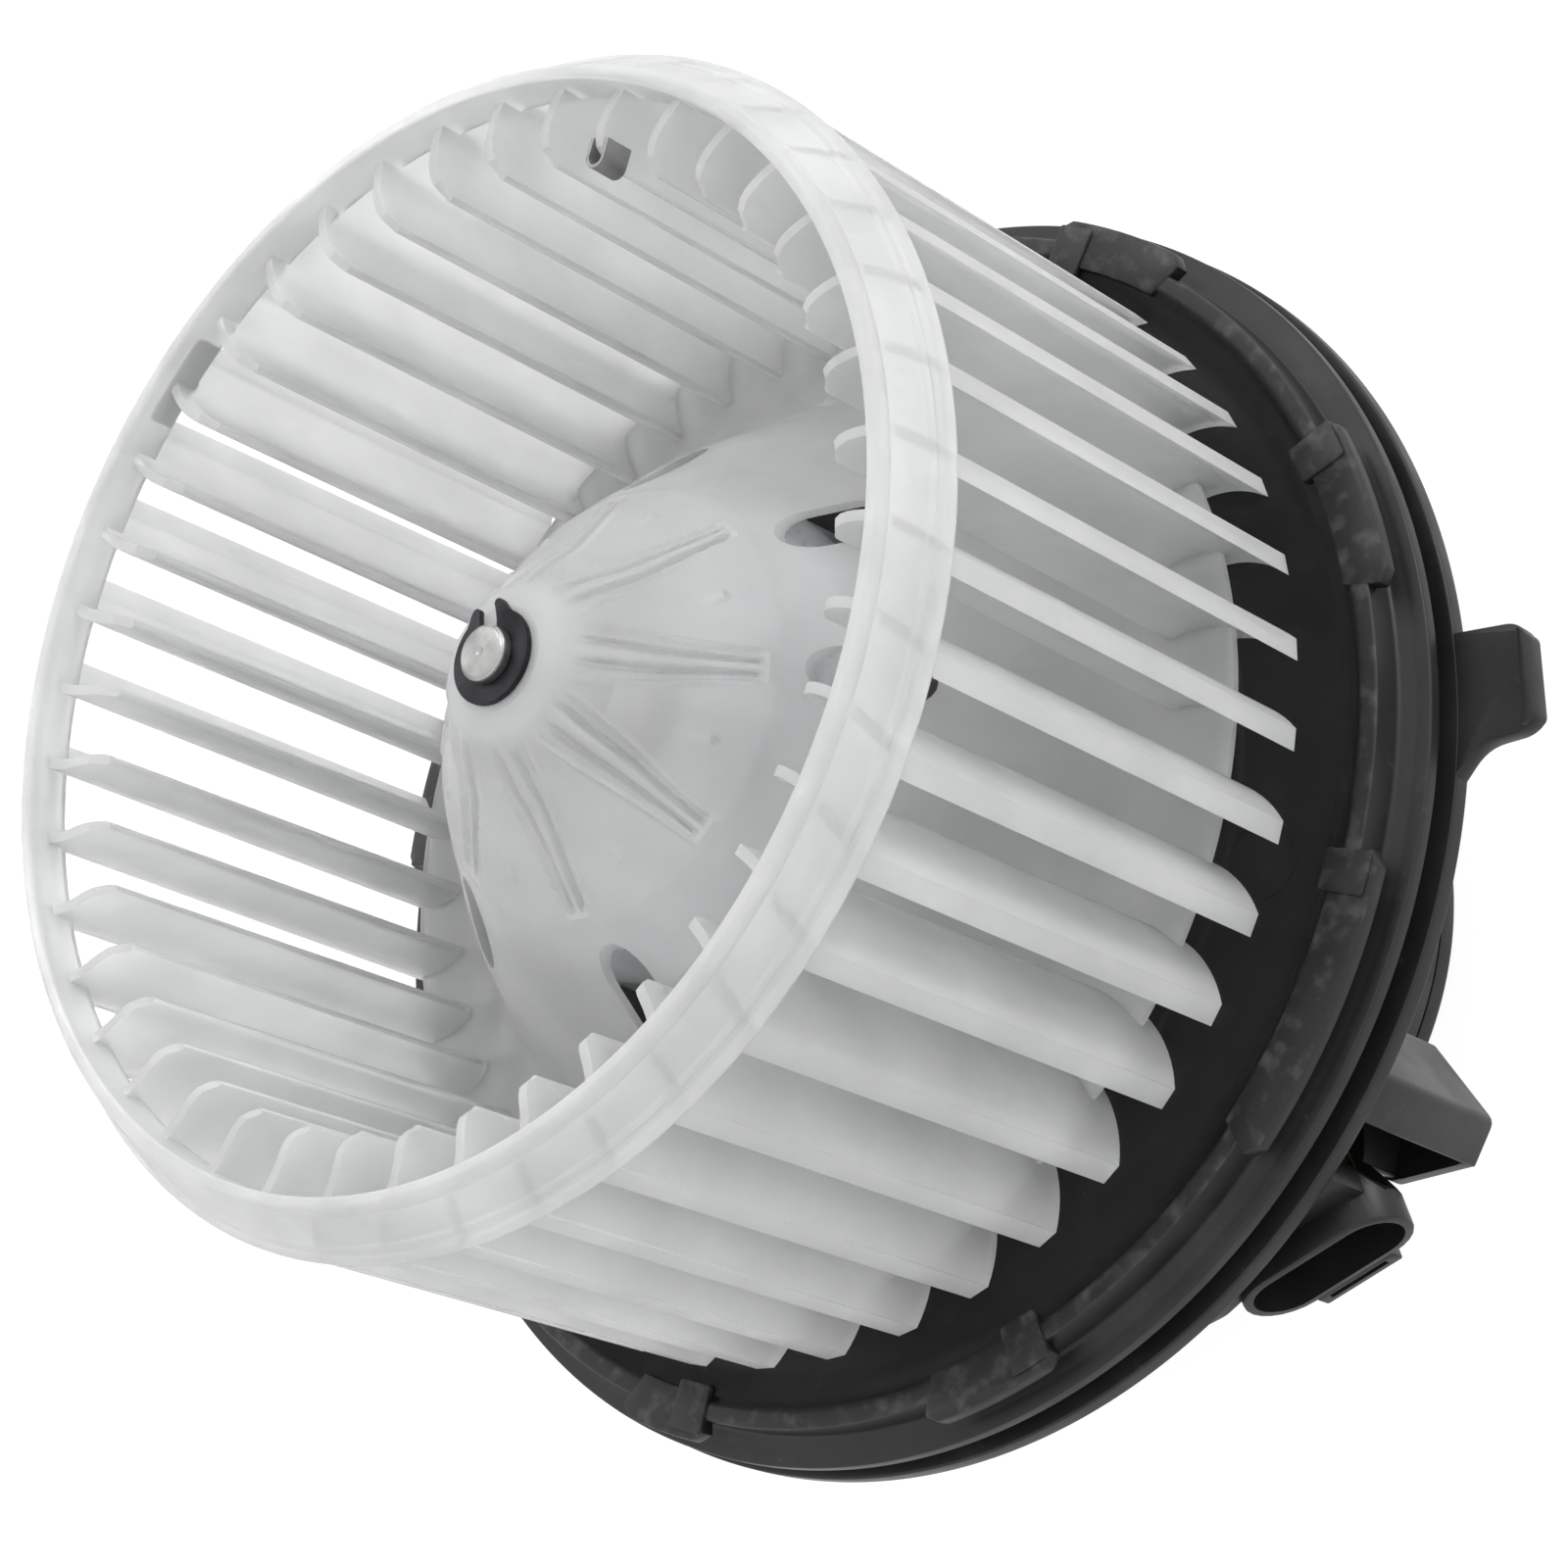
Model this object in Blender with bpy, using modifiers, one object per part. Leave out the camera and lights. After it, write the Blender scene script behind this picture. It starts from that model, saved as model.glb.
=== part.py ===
"""Blower motor wheel: a one-piece squirrel-cage impeller clipped to a brushed motor in a bayonet base.

+Z is the shaft axis and points at the air inlet. The origin is the centre of the flat rear cover.
"""

import math

import bmesh
import bpy
from mathutils import Matrix, Vector

for old in list(bpy.data.objects):
    bpy.data.objects.remove(old, do_unlink=True)

MM = 0.001

# Heights along the shaft, from the rear cover.
INLET_Z = 150.0 * MM
BLADE_REAR_Z = 78.6 * MM
HUB_RIM_Z = 83.0 * MM
SHAFT_END_Z = 139.2 * MM
FLOOR_Z = 68.4 * MM
RIB_Z = 71.5 * MM
FLANGE_Z = 65.9 * MM
GROOVE_TOP_Z = 64.0 * MM
GROOVE_LOW_Z = 60.7 * MM
FLANGE_REAR_Z = 58.2 * MM
COVER_T = 3.5 * MM

# Impeller.
BLADE_COUNT = 41
BLADE_FIRST = math.radians(4.55)
BLADE_OUTER_R = 72.1 * MM
BLADE_INNER_R = 58.3 * MM
BLADE_SWEEP = math.radians(4.3)
BLADE_TURN = math.radians(33.0)
BLADE_T_FRONT = 1.3 * MM
BLADE_T_REAR = 1.9 * MM
BLADE_STATIONS = 3
BLADE_FACE = math.radians(2.2)
RING_FRONT_R = 68.0 * MM
RING_REAR_R = 72.55 * MM
RING_REAR_Z = INLET_Z - 7.9 * MM
RING_WALL = 1.3 * MM
HUB_RIM_R = 66.0 * MM
HUB_WALL = 1.8 * MM
HUB_STEPS = 48
BORE_R = 3.55 * MM
VENT_ANGLES = (-78.0, 10.0, 47.0, 102.0, 190.0, 227.0)
HUB_RIB_COUNT = 8
HUB_RIB_FIRST = math.radians(8.8)

# Motor.
SHAFT_R = 3.5 * MM
CLIP_Z = 137.0 * MM
CLIP_HALF_T = 0.45 * MM
HUB_FACE_Z = 136.3 * MM
CLIP_MOUTH = 111.0
WEIGHT_INNER_R = 67.75 * MM
WEIGHT_OUTER_R = 68.5 * MM
WEIGHT_START = 144.0
WEIGHT_STOP = 154.2
WEIGHT_LOW_Z = 142.3 * MM
WEIGHT_TOP_Z = 146.0 * MM
CAN_R = 30.5 * MM
CAN_WALL = 1.5 * MM
CAN_STEPS = 32
CAN_FRONT_Z = 107.0 * MM
CAN_REAR_Z = 25.3 * MM
CORE_R = 21.5 * MM
CORE_SLOTS = 12
COMMUTATOR_R = 10.5 * MM
GAP = 0.3 * MM

# Base.
BASE_STEPS = 60
CUP_R = 44.7 * MM
CUP_WALL = 2.2 * MM
WALL = 2.5 * MM
RIM_R = 82.0 * MM
GROOVE_R = 79.3 * MM
REAR_FLANGE_R = 82.5 * MM
CHANNEL_R = 78.2 * MM
LUG_R = 81.0 * MM
LUG_T = 2.0 * MM
LUG_ANGLES = ((62.9, 78.5), (20.8, 38.0), (-30.0, -2.6), (-68.0, -54.0), (-104.0, -93.5), (168.0, 186.0))
REAR_RIB_COUNT = 12
SCREW_ANGLES = (90.0, 210.0, 330.0)
SCREW_CIRCLE = 39.3 * MM

# Plug socket: its mouth looks out of the side of the base.
PLUG_MOUTH = Vector((66.5, -48.3, 47.5)) * MM
PLUG_ANGLE = math.radians(-56.0)
PLUG_HALF_W = 10.5 * MM
PLUG_HALF_H = 4.5 * MM
PLUG_RIM = 1.2 * MM
PLUG_LENGTH = 20.0 * MM
PLUG_DEPTH = 16.0 * MM
PLUG_STEPS = 7

parts = bpy.data.collections.new("blower_motor_wheel")
cutters = bpy.data.collections.new("cutters")
cutters.hide_render = True
bpy.context.scene.collection.children.link(parts)
bpy.context.scene.collection.children.link(cutters)


def surface(name, colour, roughness, metallic=0.0):
    made = bpy.data.materials.new(name)
    made.use_nodes = True
    shader = made.node_tree.nodes["Principled BSDF"]
    shader.inputs["Base Color"].default_value = (*colour, 1.0)
    shader.inputs["Roughness"].default_value = roughness
    shader.inputs["Metallic"].default_value = metallic
    return made


def white_plastic(name):
    return surface(name, (0.80, 0.80, 0.77), 0.42)


def black_plastic(name):
    return surface(name, (0.035, 0.036, 0.038), 0.48)


def amber_card(name):
    return surface(name, (0.30, 0.16, 0.06), 0.60)


def steel(name):
    return surface(name, (0.62, 0.62, 0.63), 0.30, 1.0)


def dark_steel(name):
    return surface(name, (0.09, 0.09, 0.10), 0.45, 1.0)


def brass(name):
    return surface(name, (0.72, 0.52, 0.22), 0.32, 1.0)


def copper(name):
    return surface(name, (0.72, 0.32, 0.16), 0.35, 1.0)


def rubber(name):
    return surface(name, (0.02, 0.02, 0.02), 0.85)


def carbon(name):
    return surface(name, (0.06, 0.06, 0.065), 0.60)


def put(name, mesh, collection=parts, look=None):
    obj = bpy.data.objects.new(name, mesh)
    collection.objects.link(obj)
    if collection is cutters:
        obj.hide_render = True
        obj.display_type = "WIRE"
    if look:
        mesh.materials.append(look(name))
    return obj


def finish(obj):
    obj.data.shade_smooth()
    obj.data.set_sharp_from_angle(angle=math.radians(30.0))
    return obj


def polar(radius, angle):
    return radius * math.cos(angle), radius * math.sin(angle)


def baked(obj):
    """A plain mesh of what the object's modifiers or curve settings make, in world space."""
    bpy.context.view_layer.update()
    graph = bpy.context.evaluated_depsgraph_get()
    mesh = bpy.data.meshes.new_from_object(obj.evaluated_get(graph), depsgraph=graph)
    mesh.transform(obj.matrix_world)
    shape = bmesh.new()
    shape.from_mesh(mesh)
    bmesh.ops.remove_doubles(shape, verts=shape.verts, dist=1e-6)
    bmesh.ops.recalc_face_normals(shape, faces=shape.faces)
    shape.to_mesh(mesh)
    shape.free()
    bpy.data.objects.remove(obj, do_unlink=True)
    return mesh


def turned(name, profile, steps, collection=parts, look=None, matrix=None):
    """A closed profile of (radius, height) in millimetres, turned about Z. Points at radius 0 lie on the axis."""
    mesh = bpy.data.meshes.new(name)
    points = [(radius * MM, 0.0, height * MM) for radius, height in profile]
    on_axis = profile[0][0] == 0 and profile[-1][0] == 0
    edges = [(i, i + 1) for i in range(len(points) - 1)]
    if not on_axis:
        edges.append((len(points) - 1, 0))
    mesh.from_pydata(points, edges, [])
    obj = bpy.data.objects.new(name + "_profile", mesh)
    bpy.context.scene.collection.objects.link(obj)
    screw = obj.modifiers.new("Screw", "SCREW")
    screw.axis = "Z"
    screw.steps = steps
    screw.render_steps = steps
    screw.use_merge_vertices = True
    screw.merge_threshold = 1e-5
    if matrix:
        obj.matrix_world = matrix
    return finish(put(name, baked(obj), collection, look))


def plate(name, outlines, low, high, collection=parts, look=None, matrix=None):
    """Flat outlines (the first is the edge, the others are holes) given thickness from low to high."""
    curve = bpy.data.curves.new(name, "CURVE")
    curve.dimensions = "2D"
    curve.fill_mode = "BOTH"
    curve.extrude = (high - low) / 2
    for outline in outlines:
        spline = curve.splines.new("POLY")
        spline.points.add(len(outline) - 1)
        for point, (x, y) in zip(spline.points, outline):
            point.co = (x, y, 0.0, 1.0)
        spline.use_cyclic_u = True
    obj = bpy.data.objects.new(name + "_outline", curve)
    bpy.context.scene.collection.objects.link(obj)
    obj.matrix_world = (matrix or Matrix()) @ Matrix.Translation((0, 0, (low + high) / 2))
    return finish(put(name, baked(obj), collection, look))


def box(name, size, matrix, collection=parts, look=None):
    mesh = bpy.data.meshes.new(name)
    shape = bmesh.new()
    bmesh.ops.create_cube(shape, size=1.0)
    bmesh.ops.scale(shape, vec=size, verts=shape.verts)
    bmesh.ops.transform(shape, matrix=matrix, verts=shape.verts)
    shape.to_mesh(mesh)
    shape.free()
    return put(name, mesh, collection, look)


def combine(target, other, operation):
    modifier = target.modifiers.new(other.name, "BOOLEAN")
    modifier.operation = operation
    modifier.solver = "EXACT"
    modifier.object = other
    return target


def join(target, other):
    return combine(target, other, "UNION")


def cut(target, other):
    return combine(target, other, "DIFFERENCE")


def arc(radius, start, stop, count):
    """Points along an arc about the axis, with angles in radians."""
    return [polar(radius, start + (stop - start) * i / count) for i in range(count + 1)]


def circle(radius, count, centre=(0.0, 0.0)):
    ring = [polar(radius, 2 * math.pi * i / count) for i in range(count)]
    return [(centre[0] + x, centre[1] + y) for x, y in ring]


def sector(inner, outer, start, stop, count):
    """Outline of a piece of a ring, with angles in degrees."""
    first, last = math.radians(start), math.radians(stop)
    return arc(outer, first, last, count) + arc(inner, last, first, count)


def stadium(half_w, half_h, count):
    """Outline of a slot with round ends, its long side along X."""
    middle = half_w - half_h
    right = [(middle + half_h * math.sin(a), -half_h * math.cos(a)) for a in span(0, math.pi, count)]
    left = [(-middle - half_h * math.sin(a), half_h * math.cos(a)) for a in span(0, math.pi, count)]
    return right + left


def span(start, stop, count):
    return [start + (stop - start) * i / count for i in range(count + 1)]


def bowed(first, last, rise, count):
    """Points (millimetres) from first to last along an arc that stands rise off the straight line, to its left."""
    start, end = Vector(first), Vector(last)
    chord = end - start
    normal = Vector((-chord.y, chord.x)).normalized()
    return [tuple(start + chord * s + normal * rise * 4 * s * (1 - s)) for s in span(0, 1, count)]


def offset(points, distance):
    """The same open line moved to its right by distance, all in millimetres."""
    moved = []
    for i, point in enumerate(points):
        before = Vector(points[max(i - 1, 0)])
        after = Vector(points[min(i + 1, len(points) - 1)])
        along = (after - before).normalized()
        moved.append((point[0] + along.y * distance, point[1] - along.x * distance))
    return moved


def camber(share):
    """Middle line of a blade from its outer edge (0) to its inner edge (1): the point and the line's direction."""
    outer = Vector(polar(BLADE_OUTER_R, BLADE_FACE / 2))
    inner = Vector(polar(BLADE_INNER_R, BLADE_FACE / 2 + BLADE_SWEEP))
    chord = inner - outer
    radius = chord.length / 2 / math.sin(BLADE_TURN)
    along = chord.normalized()
    side = Vector((along.y, -along.x))
    centre = (outer + inner) / 2 - side * radius * math.cos(BLADE_TURN)
    turn = BLADE_TURN * (2 * share - 1)
    outward = side * math.cos(turn) + along * math.sin(turn)
    return centre + outward * radius, outward


def blade_top(radius):
    """Height of a blade's front edge: rounded at its inner corner, then under the slope of the ring."""
    corner = 3.0 * MM
    top = INLET_Z - 3.0 * MM
    if radius < BLADE_INNER_R + corner:
        reach = (BLADE_INNER_R + corner - radius) / corner
        return top - corner * (1 - math.sqrt(max(0.0, 1 - min(1.0, reach) ** 2))) * 0.7
    if radius > RING_FRONT_R - RING_WALL:
        slope = (INLET_Z - RING_REAR_Z) / (RING_REAR_R - RING_FRONT_R)
        return min(top, INLET_Z - 1.3 * MM - (radius - RING_FRONT_R) * slope)
    return top


def add_blade(shape, index):
    """One blade: two curved faces between its rear and front edges, thicker at the rear."""
    turn = Matrix.Rotation(BLADE_FIRST + 2 * math.pi * index / BLADE_COUNT, 3, "Z")
    rows = []
    for station in range(BLADE_STATIONS + 1):
        share = station / BLADE_STATIONS
        middle, outward = camber(share)
        row = []
        for side in (-1, 1):
            for high in (False, True):
                half = (BLADE_T_FRONT if high else BLADE_T_REAR) / 2
                point = middle + outward * half * side
                if station == 0:
                    angle = BLADE_FACE / 2 * (1 + side)
                    point = Vector(polar(BLADE_OUTER_R, angle))
                height = blade_top(middle.length) if high else BLADE_REAR_Z
                row.append(shape.verts.new(turn @ Vector((point.x, point.y, height))))
        rows.append(row)
    for near, far in zip(rows, rows[1:]):
        for a, b in ((0, 1), (1, 3), (3, 2), (2, 0)):
            shape.faces.new((near[a], near[b], far[b], far[a]))
    shape.faces.new((rows[0][0], rows[0][2], rows[0][3], rows[0][1]))
    shape.faces.new((rows[-1][0], rows[-1][1], rows[-1][3], rows[-1][2]))


def blades():
    shape = bmesh.new()
    for index in range(BLADE_COUNT):
        add_blade(shape, index)
    bmesh.ops.recalc_face_normals(shape, faces=shape.faces)
    mesh = bpy.data.meshes.new("blades")
    shape.to_mesh(mesh)
    shape.free()
    return put("blades", mesh, cutters)


def hub_profile():
    """Nose, bowed cone, fillet and flat rim outside, the same line one wall in, and the boss with its bore."""
    nose = bowed((7.0, HUB_FACE_Z / MM), (17.0, 126.5), 0.5, 2)
    cone = bowed(nose[-1], (47.6, 90.2), 2.2, 4)[1:]
    foot = bowed(cone[-1], (58.5, 83.7), -1.2, 2)[1:]
    outside = nose + cone + foot + [(HUB_RIM_R / MM, HUB_RIM_Z / MM)]
    wall = HUB_WALL / MM
    inside = [point for point in offset(outside, wall) if point[0] > 12.0][:-1]
    rim = [(HUB_RIM_R / MM, HUB_RIM_Z / MM - wall)]
    boss = [(8.0, 122.5), (6.5, 118.0), (BORE_R / MM, 118.0), (BORE_R / MM, HUB_FACE_Z / MM)]
    return outside + rim + inside[::-1] + boss


def impeller():
    body = turned("impeller", hub_profile(), HUB_STEPS, look=white_plastic)
    top, rear = INLET_Z / MM, RING_REAR_Z / MM
    front_r, rear_r, wall = RING_FRONT_R / MM, RING_REAR_R / MM, RING_WALL / MM
    inner_r = front_r - 1.7
    ring = [
        (front_r - 0.4, top),
        (front_r, top - 0.5),
        (rear_r, rear),
        (rear_r - wall, rear),
        (front_r - 0.5, top - 1.9),
        (front_r - 0.5, top - 5.9),
        (inner_r, top - 5.9),
        (inner_r, top - 0.4),
        (inner_r + 0.4, top),
    ]
    join(body, turned("ring", ring, BLADE_COUNT, cutters))
    seat = [weight_outline(0.12 * MM)]
    low, high = WEIGHT_LOW_Z - 0.12 * MM, WEIGHT_TOP_Z + 0.12 * MM
    join(body, cut(blades(), plate("weight_seat", seat, low, high, cutters)))
    for index in range(HUB_RIB_COUNT):
        turn = Matrix.Rotation(HUB_RIB_FIRST + 2 * math.pi * index / HUB_RIB_COUNT, 4, "Z")
        lean = Matrix.Rotation(math.radians(42.0), 4, "Y")
        place = turn @ Matrix.Translation((19.6 * MM, 0, 123.6 * MM)) @ lean
        join(body, box(f"hub_rib_{index}", (11.0 * MM, 1.8 * MM, 1.6 * MM), place, cutters))
    for index, angle in enumerate(VENT_ANGLES):
        turn = Matrix.Rotation(math.radians(angle), 4, "Z") @ Matrix.Translation((34.0 * MM, 0, 0))
        outline = stadium(4.8 * MM, 3.2 * MM, 5)
        cut(body, plate(f"vent_{index}", [outline], 90 * MM, 125 * MM, cutters, matrix=turn))
    return body


def shaft():
    radius, end = SHAFT_R / MM, SHAFT_END_Z / MM
    groove = CLIP_Z / MM
    profile = [
        (0, end),
        (radius - 0.5, end),
        (radius, end - 0.5),
        (radius, groove + 0.5),
        (radius - 0.7, groove + 0.5),
        (radius - 0.7, groove - 0.5),
        (radius, groove - 0.5),
        (radius, 8.0),
        (radius - 0.5, 7.5),
        (0, 7.5),
    ]
    return turned("shaft", profile, 24, look=steel)


def e_clip():
    """Open spring ring in the shaft's groove, with a rounded lug each side of its mouth."""
    lug = [(5.9, 35.0), (6.2, 29.0), (6.8, 22.0), (7.15, 16.5), (7.0, 11.5), (6.6, 10.5), (5.9, 12.5)]
    lug += [(4.4, 18.0), (3.0, 24.0)]
    bore = [(3.0, angle) for angle in span(40.0, 320.0, 12)]
    other = [(radius, 360.0 - angle) for radius, angle in reversed(lug)]
    rim = [(5.9, angle) for angle in span(307.0, 53.0, 13)]
    outline = [polar(radius * MM, math.radians(angle)) for radius, angle in lug + bore + other + rim]
    turn = Matrix.Rotation(math.radians(CLIP_MOUTH), 4, "Z")
    low, high = CLIP_Z - CLIP_HALF_T, CLIP_Z + CLIP_HALF_T
    return plate("e_clip", [outline], low, high, look=dark_steel, matrix=turn)


def balance_clip(name, index):
    """Folded steel clip pushed outwards over the inner edge of a blade, near its front corner."""
    middle, outward = camber(0.9)
    across = math.atan2(outward.y, outward.x)
    turn = Matrix.Rotation(BLADE_FIRST + 2 * math.pi * index / BLADE_COUNT, 4, "Z")
    place = turn @ Matrix.Translation((middle.x, middle.y, INLET_Z - 5.6 * MM))
    place = place @ Matrix.Rotation(across, 4, "Z")
    along = Vector((-outward.y, outward.x))
    inward = 1.0 if along.dot(middle) < 0 else -1.0
    fold_place = place @ Matrix.Translation((0, inward * 0.75 * MM, 0))
    clip = box(name, (3.1 * MM, 4.3 * MM, 4.0 * MM), fold_place, look=steel)
    slot_place = place @ Matrix.Translation((0, inward * -0.65 * MM, 0))
    slot = box(name + "_slot", (2.1 * MM, 6.0 * MM, 6.0 * MM), slot_place, cutters)
    return cut(clip, slot)


def weight_outline(grown=0.0):
    """Arc of the balance strip in the ring's channel, seen along the shaft, with its edges moved out."""
    spare = math.degrees(grown / WEIGHT_INNER_R)
    start, stop = WEIGHT_START - spare, WEIGHT_STOP + spare
    return sector(WEIGHT_INNER_R - grown, WEIGHT_OUTER_R + grown, start, stop, 6)


def balance_weight(name):
    """Steel strip pressed into the ring's channel, through the edge of the blade that crosses it."""
    return plate(name, [weight_outline()], WEIGHT_LOW_Z, WEIGHT_TOP_Z, look=steel)


def thrust_washer():
    profile = [(3.6, 117.7), (6.0, 117.7), (6.0, 116.7), (3.6, 116.7)]
    return turned("thrust_washer", profile, 24, look=black_plastic)


def slotted_disc(name, radius, depth, slot_share, count, low, high, look):
    """Disc with a bore and radial slots round its edge."""
    outline = []
    pitch = 2 * math.pi / count
    for index in range(count):
        start = index * pitch
        tooth = pitch * (1 - slot_share)
        outline += arc(radius, start, start + tooth, 3)
        outline += arc(radius - depth, start + tooth, start + pitch, 1)
    return plate(name, [outline, circle(BORE_R, 24)], low, high, look=look)


def winding(name, low, high, look=copper):
    """Overhang of the winding at one end of the core: a thick ring with rounded shoulders."""
    profile = [
        (13.0, high),
        (17.5, high),
        (19.8, high - 2.2),
        (19.8, low),
        (5.0, low),
        (5.0, high - 3.0),
    ]
    if name.endswith("rear"):
        profile = [(radius, low + high - height) for radius, height in reversed(profile)]
    return turned(name, profile, 24, look=look)


def motor_can():
    """Deep-drawn steel cup, open at the rear, with a bearing boss at the front."""
    radius, wall = CAN_R / MM, CAN_WALL / MM
    front, rear = CAN_FRONT_Z / MM, CAN_REAR_Z / MM
    outside = [
        (4.5, front + 6.0),
        (8.5, front + 6.0),
        (9.3, front + 5.2),
        (9.3, front + 1.5),
        (radius - 2.5, front),
        (radius - 0.7, front - 0.7),
        (radius, front - 2.5),
        (radius, rear),
    ]
    inside = [
        (radius - wall, rear),
        (radius - wall, front - 3.0),
        (radius - 3.0, front - wall),
        (7.8, front - 0.2),
        (7.8, front + 4.6),
        (4.5, front + 4.6),
    ]
    return turned("motor_can", outside + inside, CAN_STEPS, look=steel)


def end_plate():
    """Steel plate that closes the can, with a boss for the rear bearing."""
    profile = [
        (7.8, 25.0),
        (CAN_R / MM, 25.0),
        (CAN_R / MM, 23.5),
        (9.3, 23.5),
        (9.3, 11.0),
        (4.5, 11.0),
        (4.5, 12.4),
        (7.8, 12.4),
    ]
    return turned("motor_end_plate", profile, CAN_STEPS, look=steel)


def bearing(name, low, high):
    radius = BORE_R / MM
    profile = [
        (radius, high),
        (6.8, high),
        (7.5, high - 0.8),
        (7.5, low + 0.8),
        (6.8, low),
        (radius, low),
    ]
    return turned(name, profile, 24, look=brass)


def magnet(name, middle):
    outline = sector(22.5 * MM, 28.7 * MM, middle - 64.0, middle + 64.0, 14)
    return plate(name, [outline], 45.0 * MM, 95.0 * MM, look=carbon)


def brush_gear(index, angle):
    """Holder, brush and spring of one brush, along the radius at this angle."""
    turn = Matrix.Rotation(math.radians(angle), 4, "Z")
    middle_z = 36.6 * MM
    place = turn @ Matrix.Translation((18.6 * MM, 0, middle_z))
    holder = box(f"brush_holder_{index}", (11.8 * MM, 8.2 * MM, 7.6 * MM), place, look=brass)
    inside = turn @ Matrix.Translation((17.6 * MM, 0, middle_z))
    cut(holder, box(f"holder_bore_{index}", (12.6 * MM, 6.8 * MM, 6.2 * MM), inside, cutters))
    there = turn @ Matrix.Translation((14.9 * MM, 0, middle_z))
    box(f"brush_{index}", (8.2 * MM, 6.0 * MM, 5.4 * MM), there, look=carbon)
    spring = bpy.data.curves.new(f"brush_spring_{index}", "CURVE")
    spring.dimensions = "3D"
    spring.bevel_depth = 0.3 * MM
    spring.bevel_resolution = 1
    spring.use_fill_caps = True
    turns, steps = 3, 8
    line = spring.splines.new("POLY")
    line.points.add(turns * steps)
    for step, point in enumerate(line.points):
        y, z = polar(2.0 * MM, 2 * math.pi * step / steps)
        point.co = (19.5 * MM + 3.8 * MM * step / (turns * steps), y, middle_z + z, 1.0)
    coil = bpy.data.objects.new(f"brush_spring_{index}_line", spring)
    bpy.context.scene.collection.objects.link(coil)
    coil.matrix_world = turn
    return finish(put(f"brush_spring_{index}", baked(coil), look=steel))


def choke(name, angle):
    turn = Matrix.Rotation(math.radians(angle), 4, "Z") @ Matrix.Translation((21.0 * MM, 0, 35.0 * MM))
    turn = turn @ Matrix.Rotation(math.pi / 2, 4, "X")
    profile = [(0, 6.5), (1.6, 6.5), (1.6, 5.0), (2.6, 5.0), (2.6, -5.0), (1.6, -5.0), (1.6, -6.5), (0, -6.5)]
    return turned(name, profile, 16, look=copper, matrix=turn)


def isolator_front():
    inner, floor, low = CAN_R / MM + 0.3, FLOOR_Z / MM + 0.3, FLANGE_Z / MM - 0.3
    profile = [
        (inner, floor + 2.2),
        (35.4, floor + 2.2),
        (35.4, floor),
        (32.7, floor),
        (32.7, low),
        (35.4, low),
        (35.4, low - 2.2),
        (inner, low - 2.2),
    ]
    return turned("isolator_front", profile, CAN_STEPS, look=rubber)


def isolator_rear():
    inner, outer = CAN_R / MM + 0.3, (CUP_R - CUP_WALL) / MM - 0.3
    profile = [(inner, 38.0), (34.0, 38.0), (34.0, 35.5), (outer, 35.5), (outer, 31.5), (inner, 31.5)]
    return turned("isolator_rear", profile, CAN_STEPS, look=rubber)


def base_profile():
    """Dish floor, channel wall, two rims with a groove between, and the motor cup behind them."""
    cup, wall = CUP_R / MM, CUP_WALL / MM
    floor, under = FLOOR_Z / MM, (FLOOR_Z - WALL) / MM
    outer_wall = GROOVE_R / MM - 2.7
    front = [
        (33.0, floor),
        (73.0, floor),
        (75.8, RIB_Z / MM),
        (CHANNEL_R / MM, RIB_Z / MM),
        (CHANNEL_R / MM, FLANGE_Z / MM + 0.9),
        (80.0, FLANGE_Z / MM),
        (RIM_R / MM, FLANGE_Z / MM),
        (RIM_R / MM, GROOVE_TOP_Z / MM),
        (GROOVE_R / MM, GROOVE_TOP_Z / MM),
        (GROOVE_R / MM, GROOVE_LOW_Z / MM),
        (REAR_FLANGE_R / MM, GROOVE_LOW_Z / MM),
        (REAR_FLANGE_R / MM, FLANGE_REAR_Z / MM),
    ]
    rear = [
        (outer_wall, FLANGE_REAR_Z / MM),
        (outer_wall, under),
        (cup + 2.0, under),
        (cup, under - 2.0),
        (cup, COVER_T / MM + 0.3),
        (cup - wall, COVER_T / MM + 0.3),
        (cup - wall, under),
        (33.0, under),
    ]
    return front + rear


def tab_outline():
    """Handling tab: a short plate that stands out of the rear rim."""
    corners = ((84.3, 12.0), (90.0, 13.5), (91.6, 15.0), (88.6, 25.4), (86.4, 26.8), (77.8, 25.6), (78.5, 9.5))
    return [(x * MM, y * MM) for x, y in corners]


def hood_outline(inset, reach):
    """Section of the air hood behind the rim. reach moves its open side outwards."""
    corners = ((77.3 - inset, -27.0 + 0.4 * inset), (75.6 - inset, -32.8 - reach))
    back = ((64.0 + inset, -28.6 - reach), (64.4 + inset, -20.4 - inset), (67.0, -17.9 - 1.4 * inset))
    return [(x * MM, y * MM) for x, y in corners + back]


def plug_frame():
    """Axes of the plug socket: X along its slot, Z out of its mouth."""
    along = Vector((-math.sin(PLUG_ANGLE), math.cos(PLUG_ANGLE), 0))
    out = Vector((math.cos(PLUG_ANGLE), math.sin(PLUG_ANGLE), 0))
    turn = Matrix((along, out.cross(along), out)).transposed().to_4x4()
    return Matrix.Translation(PLUG_MOUTH) @ turn


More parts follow.
